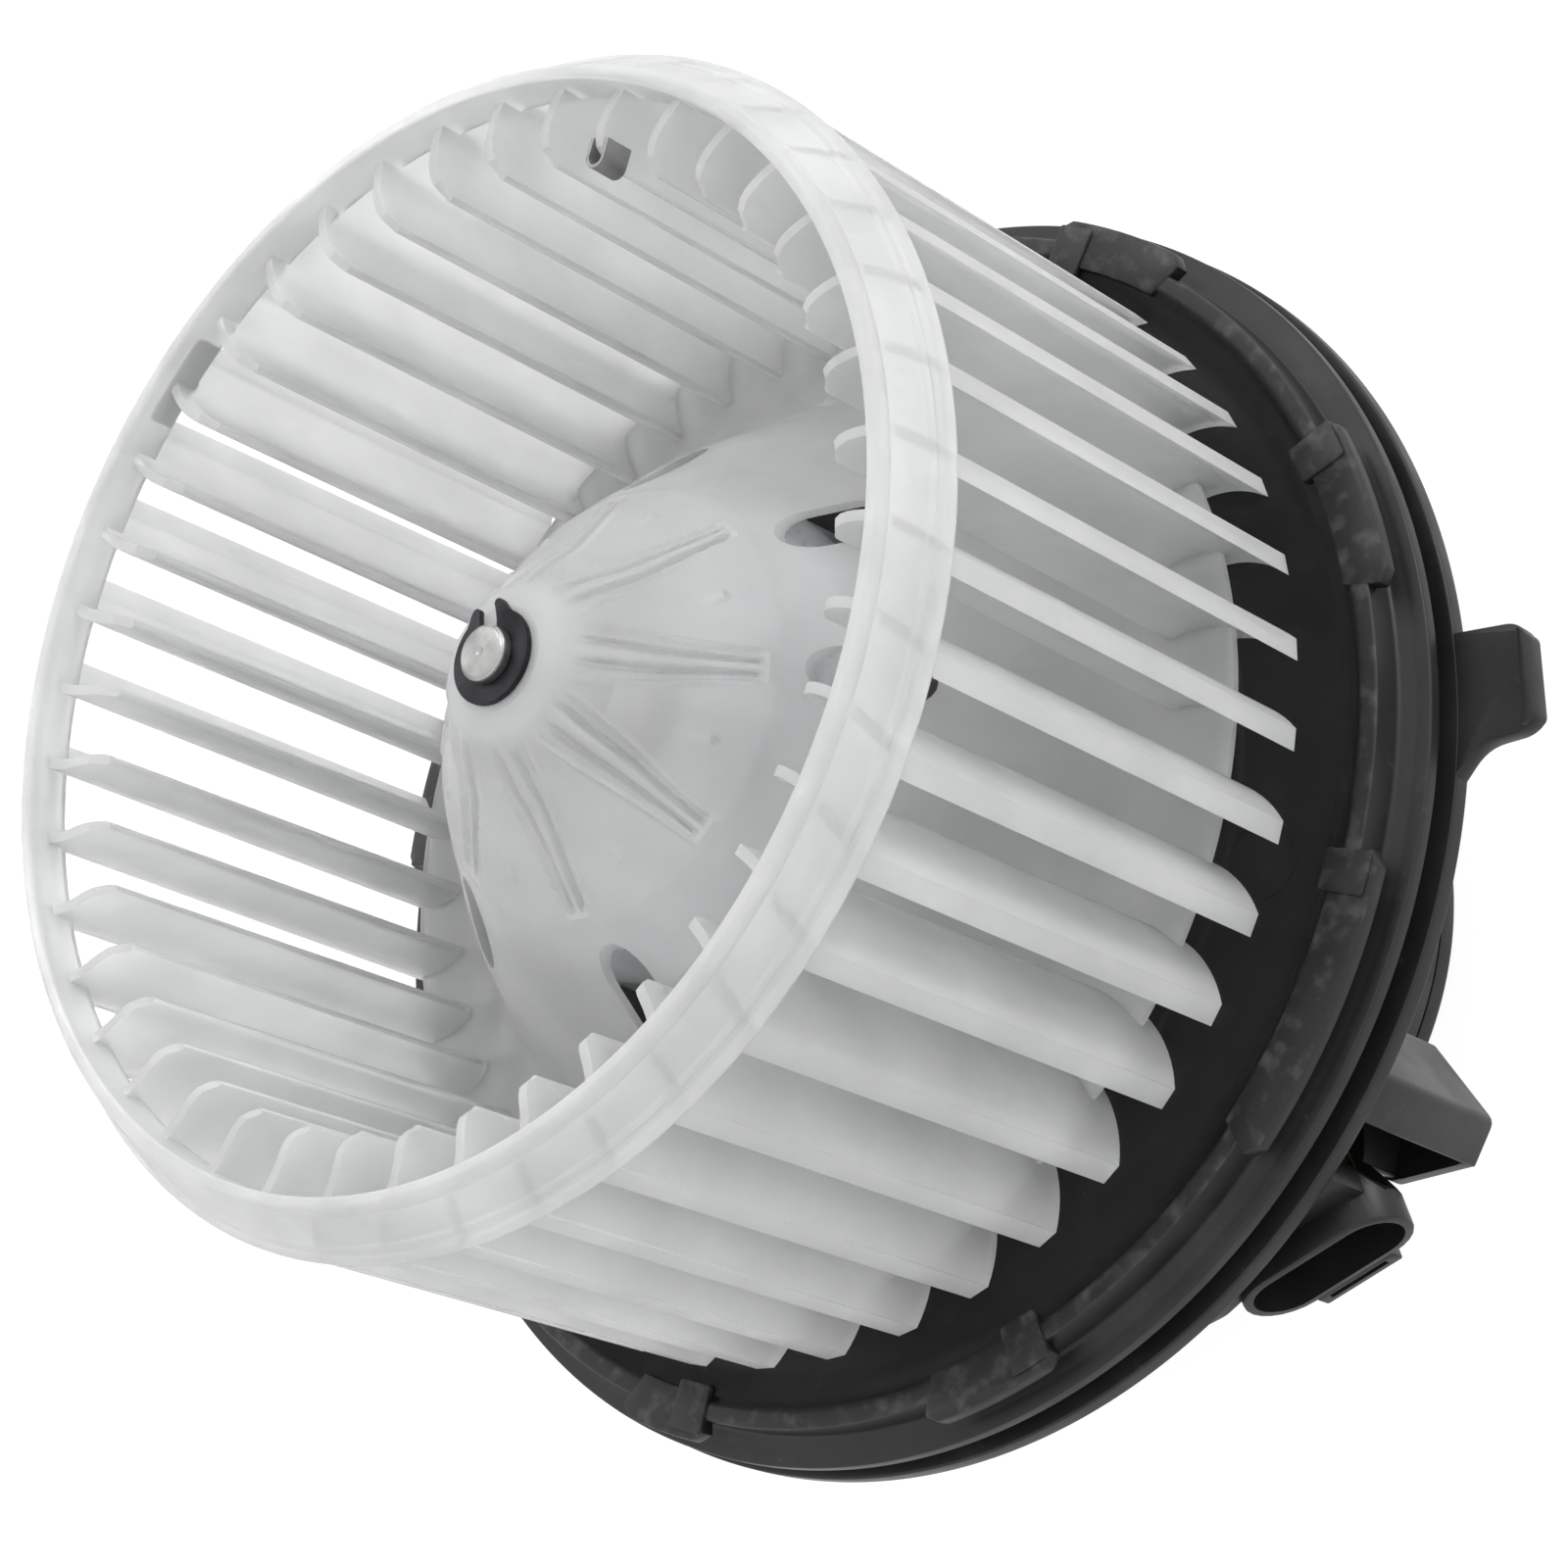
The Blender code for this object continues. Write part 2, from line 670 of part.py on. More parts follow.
def motor_flange():
    body = turned("motor_flange", base_profile(), BASE_STEPS, look=black_plastic)
    for index, (start, stop) in enumerate(LUG_ANGLES):
        steps = max(3, round((stop - start) / 5))
        outline = sector(CHANNEL_R - 1.2 * MM, LUG_R, start, stop, steps)
        join(body, plate(f"lug_{index}", [outline], RIB_Z - LUG_T, RIB_Z - 0.1 * MM, cutters))
    low, high = FLANGE_REAR_Z + 0.1 * MM, GROOVE_LOW_Z - 0.1 * MM
    join(body, plate("tab", [tab_outline()], low, high, cutters))
    for index in range(REAR_RIB_COUNT):
        turn = Matrix.Rotation(2 * math.pi * (index + 0.5) / REAR_RIB_COUNT, 4, "Z")
        place = turn @ Matrix.Translation((60.6 * MM, 0, 63.6 * MM))
        join(body, box(f"rear_rib_{index}", (34.0 * MM, 2.0 * MM, 6.4 * MM), place, cutters))
    for index, angle in enumerate(SCREW_ANGLES):
        centre = polar(SCREW_CIRCLE, math.radians(angle))
        boss = [circle(3.7 * MM, 16, centre), circle(1.55 * MM, 12, centre)]
        join(body, plate(f"boss_{index}", boss, COVER_T + GAP, 22.0 * MM, cutters))
    add_plug(body)
    add_hood(body)
    return body


def add_plug(body):
    """Shroud with a slot-shaped socket, a latch rail behind it and a pedestal that ties it to the base."""
    frame = plug_frame()
    outer = stadium(PLUG_HALF_W + PLUG_RIM, PLUG_HALF_H + PLUG_RIM, PLUG_STEPS)
    join(body, plate("shroud", [outer], -PLUG_LENGTH, 0, cutters, matrix=frame))
    foot = frame @ Matrix.Translation((0, 7.4 * MM, -11.5 * MM))
    join(body, box("shroud_foot", (20.0 * MM, 7.2 * MM, 16.0 * MM), foot, cutters))
    post = frame @ Matrix.Translation((0, 11.3 * MM, -15.2 * MM))
    join(body, box("shroud_post", (17.0 * MM, 15.0 * MM, 9.0 * MM), post, cutters))
    rail = frame @ Matrix.Translation((0, -6.6 * MM, -5.0 * MM))
    join(body, box("latch_rail", (11.5 * MM, 2.6 * MM, 10.1 * MM), rail, cutters))
    inner = stadium(PLUG_HALF_W, PLUG_HALF_H, PLUG_STEPS)
    cut(body, plate("socket", [inner], -PLUG_DEPTH, 2.0 * MM, cutters, matrix=frame))
    for index, side in enumerate((-1, 1)):
        through = frame @ Matrix.Translation((side * 4.6 * MM, 0, -PLUG_LENGTH))
        cut(body, box(f"terminal_slot_{index}", (6.9 * MM, 1.4 * MM, 12.0 * MM), through, cutters))


def add_hood(body):
    """Hood for the motor's cooling air: closed at its end and open on one side."""
    join(body, plate("hood", [hood_outline(0.0, 0.0)], 34.4 * MM, FLANGE_REAR_Z + 0.2 * MM, cutters))
    root = Matrix.Translation((69.3 * MM, -24.5 * MM, 62.0 * MM))
    join(body, box("hood_root", (9.0 * MM, 6.0 * MM, 9.6 * MM), root, cutters))
    cut(body, plate("hood_cavity", [hood_outline(1.8, 6.0)], 36.4 * MM, 56.0 * MM, cutters))


def terminal(name, side):
    place = plug_frame() @ Matrix.Translation((side * 4.6 * MM, 0, -14.25 * MM))
    return box(name, (6.3 * MM, 0.8 * MM, 13.5 * MM), place, look=brass)


def rear_cover():
    """Flat cover of the motor cup, with three counterbored holes."""
    holes = [circle(1.7 * MM, 12, polar(SCREW_CIRCLE, math.radians(angle))) for angle in SCREW_ANGLES]
    cover = plate("rear_cover", [circle(CUP_R, BASE_STEPS), *holes], 0, COVER_T, look=black_plastic)
    for index, angle in enumerate(SCREW_ANGLES):
        centre = polar(SCREW_CIRCLE, math.radians(angle))
        outline = [circle(3.2 * MM, 16, centre)]
        cut(cover, plate(f"counterbore_{index}", outline, -1.0 * MM, 2.2 * MM, cutters))
    return cover


def cover_screw(name, angle):
    x, y = polar(SCREW_CIRCLE, math.radians(angle))
    profile = [(0, 16.0), (1.25, 15.0), (1.25, 1.9), (2.8, 1.9), (2.8, 0.8), (2.2, 0.4), (0, 0.4)]
    return turned(name, profile, 16, look=dark_steel, matrix=Matrix.Translation((x, y, 0)))


def brush_card():
    outline = [circle(28.6 * MM, 32), circle(12.5 * MM, 24)]
    return plate("brush_card", outline, 30.0 * MM, 31.8 * MM, look=amber_card)


def build():
    impeller()
    shaft()
    e_clip()
    balance_clip("balance_clip_1", 8)
    balance_weight("balance_clip_2")
    thrust_washer()
    slotted_disc("armature_core", CORE_R, 8.0 * MM, 0.22, CORE_SLOTS, 50 * MM, 90 * MM, dark_steel)
    winding("armature_winding_front", 90.3, 98.5)
    winding("armature_winding_rear", 42.0, 49.7)
    slotted_disc("commutator", COMMUTATOR_R, 0.8 * MM, 0.10, CORE_SLOTS, 28 * MM, 41.5 * MM, copper)
    motor_can()
    end_plate()
    bearing("front_bearing", 107.1, 111.3)
    bearing("rear_bearing", 12.7, 17.5)
    magnet("magnet_1", 90.0)
    magnet("magnet_2", 270.0)
    brush_card()
    brush_gear(1, 0.0)
    brush_gear(2, 180.0)
    choke("choke_1", 90.0)
    choke("choke_2", 270.0)
    isolator_front()
    isolator_rear()
    motor_flange()
    terminal("terminal_1", -1)
    terminal("terminal_2", 1)
    rear_cover()
    for index, angle in enumerate(SCREW_ANGLES):
        cover_screw(f"cover_screw_{index + 1}", angle)


build()
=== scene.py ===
"""Blower motor wheel: a milky one-piece fan wheel on its motor, in a black bayonet base.

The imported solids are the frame. Finer meshes stand for the pieces that show, and every other
solid is carried with its own finish. The shaft runs along +Z, and the wheel's inlet is at the top.
Sizes are in millimetres, and angles without math.radians in degrees, but the stage is in metres.
"""

import math

import bmesh
import bpy
import numpy as np
from mathutils import Matrix, Vector


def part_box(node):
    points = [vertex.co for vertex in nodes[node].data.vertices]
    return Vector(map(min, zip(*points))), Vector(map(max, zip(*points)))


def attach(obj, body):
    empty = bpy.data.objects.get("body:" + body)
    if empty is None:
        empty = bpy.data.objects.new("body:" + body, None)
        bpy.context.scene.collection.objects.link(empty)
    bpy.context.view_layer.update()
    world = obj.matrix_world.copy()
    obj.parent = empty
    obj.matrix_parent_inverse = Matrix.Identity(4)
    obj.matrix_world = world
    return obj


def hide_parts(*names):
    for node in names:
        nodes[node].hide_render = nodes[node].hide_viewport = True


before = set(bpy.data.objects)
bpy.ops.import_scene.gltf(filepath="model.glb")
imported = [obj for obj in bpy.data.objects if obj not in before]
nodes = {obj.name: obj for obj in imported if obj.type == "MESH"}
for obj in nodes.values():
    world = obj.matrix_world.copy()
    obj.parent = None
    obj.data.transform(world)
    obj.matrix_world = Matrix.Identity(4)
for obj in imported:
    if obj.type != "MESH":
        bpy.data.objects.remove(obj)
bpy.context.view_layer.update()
MM = 0.001
BEVEL_SEGMENTS, BEVEL_ANGLE = 2, 35.0
STADIUM_STEPS = 12
WELD_M = 1e-6  # points closer than this many metres become one
SHORTEST_FILLET, FILLET_SHARE = 0.02, 0.48

# ---------------------------------------------------------------- sizes, from the frame
wheel_low, wheel_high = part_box("impeller")
_, base_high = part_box("motor_flange")
_, cup_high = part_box("rear_cover")
can_low, can_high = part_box("motor_can")
shaft_low, shaft_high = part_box("shaft")
clip_low, clip_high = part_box("e_clip")

INLET_Z = wheel_high.z / MM
BLADE_REAR_Z = wheel_low.z / MM
RING_REAR_R = wheel_high.x / MM
CUP_R = cup_high.x / MM
COVER_T = cup_high.z / MM
CAN_R = can_high.x / MM
SHAFT_R = shaft_high.x / MM
SHAFT_END_Z = shaft_high.z / MM
CLIP_Z = (clip_low.z + clip_high.z) / 2 / MM

BLADES = 41
BLADE_FIRST = math.radians(4.55)
BLADE_OUTER_R = 72.1
BLADE_INNER_R = 58.3
BLADE_SWEEP = math.radians(4.3)
BLADE_TURN = math.radians(33.0)
BLADE_FACE = math.radians(2.2)
BLADE_FRONT_T, BLADE_REAR_T = 1.25, 1.85
BLADE_CORNER_R, BLADE_CORNER_FLATTENING = 3.4, 0.8
BLADE_TOP_DROP, BLADE_RING_GAP = 2.9, 1.3
BLADE_STATIONS, BLADE_NOSE_STEPS = 14, 5
RING_FRONT_R = 68.0
RING_DEPTH = 7.9
CLIP_MOUTH = 111.0
BALANCED_BLADE = 8
STRIP_R = (67.62, 68.15)
STRIP_ANGLES = (144.0, 154.2)
STRIP_LIFT, STRIP_ROOM = 0.9, 0.1

FLOOR_Z = 68.4
RIB_Z = base_high.z / MM
RIM_Z = 65.9
GROOVE_TOP_Z, GROOVE_LOW_Z, REAR_Z = 64.0, 60.7, 58.2
GROOVE_R, RIM_R, CHANNEL_R = 79.3, 82.0, 78.2


# ---------------------------------------------------------------- meshes
def polar(radius, angle):
    return radius * math.cos(angle), radius * math.sin(angle)


def span(start, stop, count):
    return [start + (stop - start) * i / count for i in range(count + 1)]


def object_of(name, points, faces):
    """Closed mesh from points in millimetres, its faces turned outwards."""
    mesh = bpy.data.meshes.new(name)
    mesh.from_pydata([tuple(c * MM for c in p) for p in points], [], faces)
    shape = bmesh.new()
    shape.from_mesh(mesh)
    bmesh.ops.remove_doubles(shape, verts=shape.verts, dist=WELD_M)
    bmesh.ops.recalc_face_normals(shape, faces=shape.faces)
    shape.to_mesh(mesh)
    shape.free()
    obj = bpy.data.objects.new(name, mesh)
    bpy.context.scene.collection.objects.link(obj)
    return obj


def smooth(obj, angle=32.0):
    """Shades the faces smoothly, up to the angle between two of them."""
    obj.data.shade_smooth()
    obj.data.set_sharp_from_angle(angle=math.radians(angle))
    return obj


def through(points, per):
    """Smooth line through the points, with per steps between each two."""
    before = Vector(points[0]) * 2 - Vector(points[1])
    after = Vector(points[-1]) * 2 - Vector(points[-2])
    held = [before] + [Vector(p) for p in points] + [after]
    line = []
    for a, b, c, d in zip(held, held[1:], held[2:], held[3:]):
        for step in range(per):
            t = step / per
            square = (a * 2 - b * 5 + c * 4 - d) * t**2
            cube = (b * 3 - a - c * 3 + d) * t**3
            line.append((b * 2 + (c - a) * t + square + cube) / 2)
    line.append(Vector(points[-1]))
    return [tuple(p) for p in line]


def spaced(line, gap):
    """Points of the line at least gap(radius) apart."""
    kept = [line[0]]
    for point in line[1:-1]:
        if math.dist(point, kept[-1]) >= gap(point[0]):
            kept.append(point)
    return kept + [line[-1]]


def filleted(corners, steps=4):
    """Closed outline whose corners (x, y, radius) are rounded to their radius."""
    outline = []
    count = len(corners)
    for i, (x, y, radius) in enumerate(corners):
        here = Vector((x, y))
        before = Vector(corners[i - 1][:2]) - here
        after = Vector(corners[(i + 1) % count][:2]) - here
        reach = min(radius, before.length * FILLET_SHARE, after.length * FILLET_SHARE)
        if reach < SHORTEST_FILLET:
            outline.append((x, y))
            continue
        start = here + before.normalized() * reach
        stop = here + after.normalized() * reach
        for t in span(0, 1, steps):
            outline.append(tuple(start * (1 - t) ** 2 + here * 2 * t * (1 - t) + stop * t**2))
    return outline


def lathe(name, profile, steps, lift=None):
    """Closed (radius, height) profile turned about Z.

    lift(index, angle) gives how far a point moves along the profile's normal.
    """
    count = len(profile)
    line = np.array(profile)
    along = np.roll(line, -1, 0) - np.roll(line, 1, 0)
    along /= np.maximum(np.linalg.norm(along, axis=1, keepdims=True), 1e-9)
    normal = np.stack([-along[:, 1], along[:, 0]], 1)
    area = (line[:, 0] * np.roll(line[:, 1], -1) - np.roll(line[:, 0], -1) * line[:, 1]).sum()
    normal *= -1 if area > 0 else 1
    points, faces = [], []
    for step in range(steps):
        angle = 2 * math.pi * step / steps
        moved = np.array([lift(i, angle) for i in range(count)]) if lift else np.zeros(count)
        rows = line + normal * moved[:, None]
        for radius, height in rows:
            points.append((*polar(max(radius, 0.0), angle), height))
        here, there = step * count, (step + 1) % steps * count
        for i in range(count):
            j = (i + 1) % count
            faces.append((here + i, there + i, there + j, here + j))
    return object_of(name, points, faces)


def prism(name, outline, low, high, matrix=None, bevel=0.0):
    """Outline in millimetres given a height, then its edges rounded."""
    count = len(outline)
    points = [(x, y, low) for x, y in outline] + [(x, y, high) for x, y in outline]
    faces = [tuple(range(count)), tuple(range(count, 2 * count))]
    faces += [(i, (i + 1) % count, count + (i + 1) % count, count + i) for i in range(count)]
    obj = object_of(name, points, faces)
    if bevel:
        round_edges(obj, bevel)
    if matrix:
        obj.data.transform(matrix)
    return obj


def block(name, size, matrix, bevel=0.0):
    """Box of the given sides about the matrix's origin."""
    x, y, z = (side / 2 for side in size)
    return prism(name, [(-x, -y), (x, -y), (x, y), (-x, y)], -z, z, matrix, bevel)


def round_edges(obj, width):
    """Rounds every edge sharper than BEVEL_ANGLE."""
    bevel = obj.modifiers.new("Bevel", "BEVEL")
    bevel.width = width * MM
    bevel.segments = BEVEL_SEGMENTS
    bevel.limit_method = "ANGLE"
    bevel.angle_limit = math.radians(BEVEL_ANGLE)
    bevel.use_clamp_overlap = True
    return settle(obj)


def settle(obj):
    """Applies the object's modifiers."""
    bpy.context.view_layer.update()
    graph = bpy.context.evaluated_depsgraph_get()
    mesh = bpy.data.meshes.new_from_object(obj.evaluated_get(graph), depsgraph=graph)
    obj.modifiers.clear()
    obj.data = mesh
    return obj


def combine(target, others, operation):
    """Unites the target with closed meshes, or cuts them from it, and removes them."""
    for other in others:
        modifier = target.modifiers.new(other.name, "BOOLEAN")
        modifier.operation = operation
        modifier.solver = "MANIFOLD"
        modifier.object = other
    settle(target)
    for other in others:
        bpy.data.objects.remove(other, do_unlink=True)
    return target


def turn_z(degrees):
    return Matrix.Rotation(math.radians(degrees), 4, "Z")


def shift(x, y, z):
    return Matrix.Translation((x * MM, y * MM, z * MM))


def sector(inner, outer, start, stop, per=1.0):
    """Outline between two radii and two angles, with a point about every per degrees."""
    steps = max(3, round(abs(stop - start) / per))
    angles = span(math.radians(start), math.radians(stop), steps)
    return [polar(outer, a) for a in angles] + [polar(inner, a) for a in reversed(angles)]


def stadium(half_w, half_h):
    """Slot outline: straight sides and half-round ends."""
    middle = half_w - half_h
    turns = span(0, math.pi, STADIUM_STEPS)
    right = [(middle + half_h * math.sin(a), -half_h * math.cos(a)) for a in turns]
    return right + [(-x, -y) for x, y in right]


def disc(centre, radius, count):
    """Outline of a circle about centre."""
    x, y = centre
    turned = (polar(radius, 2 * math.pi * i / count) for i in range(count))
    return [(x + across, y + up) for across, up in turned]


# ---------------------------------------------------------------- finishes
class Finish:
    """Node material built step by step round one Principled shader, in object coordinates."""

    def __init__(self, name):
        self.material = bpy.data.materials.new(name)
        self.material.use_nodes = True
        self.tree = self.material.node_tree
        self.shader = self.tree.nodes["Principled BSDF"]
        self.place = self.tree.nodes.new("ShaderNodeTexCoord")

    def link(self, output, target):
        self.tree.links.new(output, target)

    def noise(self, size_mm, detail=3.0, stretch=None, seed=0.0):
        """Noise with features of about size_mm, squeezed by stretch and moved by seed."""
        node = self.tree.nodes.new("ShaderNodeTexNoise")
        node.inputs["Scale"].default_value = 1.0
        node.inputs["Detail"].default_value = detail
        mapping = self.tree.nodes.new("ShaderNodeMapping")
        factor = 1000.0 / size_mm
        sx, sy, sz = stretch or (1.0, 1.0, 1.0)
        mapping.inputs["Scale"].default_value = (factor * sx, factor * sy, factor * sz)
        mapping.inputs["Location"].default_value = (seed, seed * 0.7, seed * 1.3)
        self.link(self.place.outputs["Object"], mapping.inputs["Vector"])
        self.link(mapping.outputs["Vector"], node.inputs["Vector"])
        return node.outputs["Fac"]

    def ramp(self, value, stops):
        node = self.tree.nodes.new("ShaderNodeValToRGB")
        elements = node.color_ramp.elements
        while len(elements) < len(stops):
            elements.new(0.5)
        for element, (position, colour) in zip(elements, stops):
            element.position = position
            element.color = (*colour, 1.0)
        self.link(value, node.inputs["Fac"])
        return node.outputs["Color"]

    def remap(self, value, low, high, start=0.3, stop=0.7):
        """Value from start to stop, spread over low to high."""
        node = self.tree.nodes.new("ShaderNodeMapRange")
        limits = {"From Min": start, "From Max": stop, "To Min": low, "To Max": high}
        for key, number in limits.items():
            node.inputs[key].default_value = number
        self.link(value, node.inputs["Value"])
        return node.outputs["Result"]

    def mix(self, factor, first, second):
        node = self.tree.nodes.new("ShaderNodeMix")
        node.data_type = "RGBA"
        node.blend_type = "MIX"
        self.link(factor, node.inputs["Factor"])
        self.link(first, node.inputs[6])
        self.link(second, node.inputs[7])
        return node.outputs[2]

    def colour(self, output):
        self.link(output, self.shader.inputs["Base Color"])

    def roughness(self, output):
        self.link(output, self.shader.inputs["Roughness"])

    def bump(self, value, depth_mm, before=None):
        node = self.tree.nodes.new("ShaderNodeBump")
        node.inputs["Strength"].default_value = 1.0
        node.inputs["Distance"].default_value = depth_mm * MM
        self.link(value, node.inputs["Height"])
        if before:
            self.link(before, node.inputs["Normal"])
        return node.outputs["Normal"]

    def normal(self, output):
        self.link(output, self.shader.inputs["Normal"])

    def set(self, **values):
        for key, value in values.items():
            self.shader.inputs[key.replace("_", " ")].default_value = value


def milky_plastic():
    """Natural polypropylene: cloudy and see-through, with faint flow marks and fine scuffs."""
    f = Finish("milky_plastic")
    cloud_tones = [(0.30, (0.76, 0.765, 0.765)), (0.70, (0.90, 0.905, 0.905))]
    flow_tones = [(0.35, (0.78, 0.785, 0.785)), (0.65, (0.93, 0.935, 0.935))]
    cloud = f.ramp(f.noise(16.0, 4.0), cloud_tones)
    flow = f.ramp(f.noise(5.0, 3.0, (1.0, 1.0, 0.25), 3.0), flow_tones)
    scuff = f.remap(f.noise(2.2, 5.0, (1.0, 1.0, 0.3), 7.0), 0.0, 0.5, 0.55, 0.80)
    f.colour(f.mix(scuff, cloud, flow))
    f.roughness(f.remap(f.noise(7.0, 4.0, None, 5.0), 0.31, 0.44))
    wave = f.bump(f.noise(9.0, 2.0, None, 2.0), 0.05)
    f.normal(f.bump(f.noise(0.5, 2.0, None, 9.0), 0.006, wave))
    f.set(Subsurface_Weight=0.40, Subsurface_Scale=0.005, Transmission_Weight=0.68, IOR=1.30)
    f.set(Subsurface_Radius=(1.0, 1.0, 1.0), Specular_IOR_Level=0.45)
    return f.material


def black_plastic():
    """Filled black moulding: satin and finely grained, a little dusty, rubbed on the lugs' tops,
    where the lighter colour is also a painted highlight on all at their height.
    """
    f = Finish("black_plastic")
    plain_tones = [(0.30, (0.006, 0.006, 0.007)), (0.70, (0.012, 0.012, 0.013))]
    dust_tones = [(0.62, (0.02, 0.02, 0.021)), (0.80, (0.11, 0.11, 0.11))]
    worn_and_lit_tones = [(0.50, (0.012, 0.012, 0.013)), (0.78, (0.060, 0.060, 0.061))]
    tone = f.ramp(f.noise(22.0, 4.0), plain_tones)
    dust = f.ramp(f.noise(1.1, 3.0, None, 4.0), dust_tones)
    spots = f.remap(f.noise(6.0, 3.0, None, 8.0), 0.0, 0.5, 0.56, 0.74)
    body = f.mix(spots, tone, dust)
    # Everything near the lugs' top height gets a lighter, mottled colour: rubbed wear, together
    # with a painted highlight on the top faces.
    split = f.tree.nodes.new("ShaderNodeSeparateXYZ")
    f.link(f.place.outputs["Object"], split.inputs["Vector"])
    top = f.remap(split.outputs["Z"], 0.0, 1.0, (RIB_Z - 0.25) * MM, (RIB_Z - 0.05) * MM)
    rubbed_and_lit = f.ramp(f.noise(2.6, 6.0, (1.0, 1.0, 1.0), 11.0), worn_and_lit_tones)
    f.colour(f.mix(top, body, rubbed_and_lit))
    f.roughness(f.remap(f.noise(12.0, 5.0, None, 6.0), 0.33, 0.50))
    sink = f.bump(f.noise(18.0, 2.0, None, 1.0), 0.06)
    f.normal(f.bump(f.noise(0.35, 2.0, None, 3.0), 0.012, sink))
    f.set(Specular_IOR_Level=0.30)
    return f.material


def metal(name, tone, dark, rough, stretch, grain_mm=0.5):
    """Bare metal with a grain along one axis and cloudy tarnish."""
    f = Finish(name)
    f.colour(f.ramp(f.noise(6.0, 4.0), [(0.35, dark), (0.65, tone)]))
    f.roughness(f.remap(f.noise(grain_mm * 3, 4.0, stretch, 2.0), rough - 0.08, rough + 0.14))
    f.normal(f.bump(f.noise(grain_mm, 3.0, stretch, 5.0), 0.01))
    f.set(Metallic=1.0)
    return f.material


def turned_metal():
    """Turned bar: fine grooves round the axis on its end, and a grain along its side."""
    f = Finish("turned_steel")
    tones = [(0.35, (0.30, 0.30, 0.30)), (0.65, (0.44, 0.44, 0.43))]
    f.colour(f.ramp(f.noise(3.0, 3.0), tones))
    f.roughness(f.remap(f.noise(1.2, 3.0, None, 2.0), 0.30, 0.40))
    wave = f.tree.nodes.new("ShaderNodeTexWave")
    wave.wave_type = "RINGS"
    wave.rings_direction = "Z"
    wave.inputs["Scale"].default_value = 1250.0
    wave.inputs["Distortion"].default_value = 0.6
    f.link(f.place.outputs["Object"], wave.inputs["Vector"])
    grain = f.bump(f.noise(0.3, 2.0, (1.0, 1.0, 0.2), 5.0), 0.004)
    f.normal(f.bump(wave.outputs["Fac"], 0.022, grain))
    f.set(Metallic=1.0)
    return f.material


def matt(name, tone, dark, rough):
    """Dull solid with cloudy tones and a fine grain."""
    f = Finish(name)
    f.colour(f.ramp(f.noise(5.0, 4.0), [(0.35, dark), (0.65, tone)]))
    f.roughness(f.remap(f.noise(3.0, 4.0, None, 2.0), rough - 0.08, rough + 0.08))
    f.normal(f.bump(f.noise(0.6, 3.0, None, 5.0), 0.02))
    return f.material


MILKY = milky_plastic()
BLACK = black_plastic()
TURNED = turned_metal()
EVEN = (1.0, 1.0, 1.0)
DULL = metal("dull_steel", (0.09, 0.09, 0.09), (0.05, 0.05, 0.05), 0.50, EVEN)
DRAWN = metal(
    "zinc_plated_steel", (0.60, 0.61, 0.62), (0.42, 0.43, 0.45), 0.34, (1.0, 1.0, 0.15)
)
SPRING = metal("spring_steel", (0.32, 0.32, 0.32), (0.20, 0.20, 0.21), 0.42, EVEN)
PHOSPHATE = metal(
    "phosphated_steel", (0.045, 0.045, 0.05), (0.02, 0.02, 0.022), 0.42, EVEN, 0.3
)
LAMINATE = metal(
    "core_laminations", (0.16, 0.16, 0.17), (0.08, 0.08, 0.09), 0.45, (0.1, 0.1, 3.0), 0.35
)
COPPER = metal("copper", (0.70, 0.31, 0.15), (0.45, 0.17, 0.08), 0.32, EVEN, 0.4)
WOUND = metal(
    "wound_copper", (0.62, 0.24, 0.10), (0.30, 0.10, 0.04), 0.34, (0.2, 0.2, 2.5), 0.6
)
BRASS = metal("tinned_brass", (0.70, 0.56, 0.28), (0.50, 0.38, 0.16), 0.30, (1.0, 0.3, 1.0))
SINTER = metal("sintered_bronze", (0.55, 0.40, 0.20), (0.34, 0.24, 0.12), 0.50, EVEN, 0.3)
RUBBER = matt("rubber", (0.020, 0.020, 0.021), (0.012, 0.012, 0.012), 0.80)
FERRITE = matt("ferrite", (0.085, 0.085, 0.09), (0.05, 0.05, 0.055), 0.62)
CARBON = matt("brush_carbon", (0.05, 0.05, 0.052), (0.025, 0.025, 0.026), 0.50)
CARD = matt("laminated_card", (0.34, 0.18, 0.07), (0.22, 0.11, 0.04), 0.55)
NYLON = matt("nylon", (0.60, 0.58, 0.50), (0.48, 0.46, 0.40), 0.45)


def show(obj, body, material, stands_for):
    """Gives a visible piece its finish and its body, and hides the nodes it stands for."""
    obj.data.materials.clear()
    obj.data.materials.append(material)
    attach(obj, body)
    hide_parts(*stands_for)
    return obj


# ---------------------------------------------------------------- wheel
def camber(share):
    """Point and outward side on a blade's middle line, from its outer edge (0) to its inner (1)."""
    outer = Vector(polar(BLADE_OUTER_R, BLADE_FACE / 2))
    inner = Vector(polar(BLADE_INNER_R, BLADE_FACE / 2 + BLADE_SWEEP))
    chord = inner - outer
    radius = chord.length / 2 / math.sin(BLADE_TURN)
    along = chord.normalized()
    side = Vector((along.y, -along.x))
    centre = (outer + inner) / 2 - side * radius * math.cos(BLADE_TURN)
    turn = BLADE_TURN * (2 * share - 1)
    outward = side * math.cos(turn) + along * math.sin(turn)
    return centre + outward * radius, outward


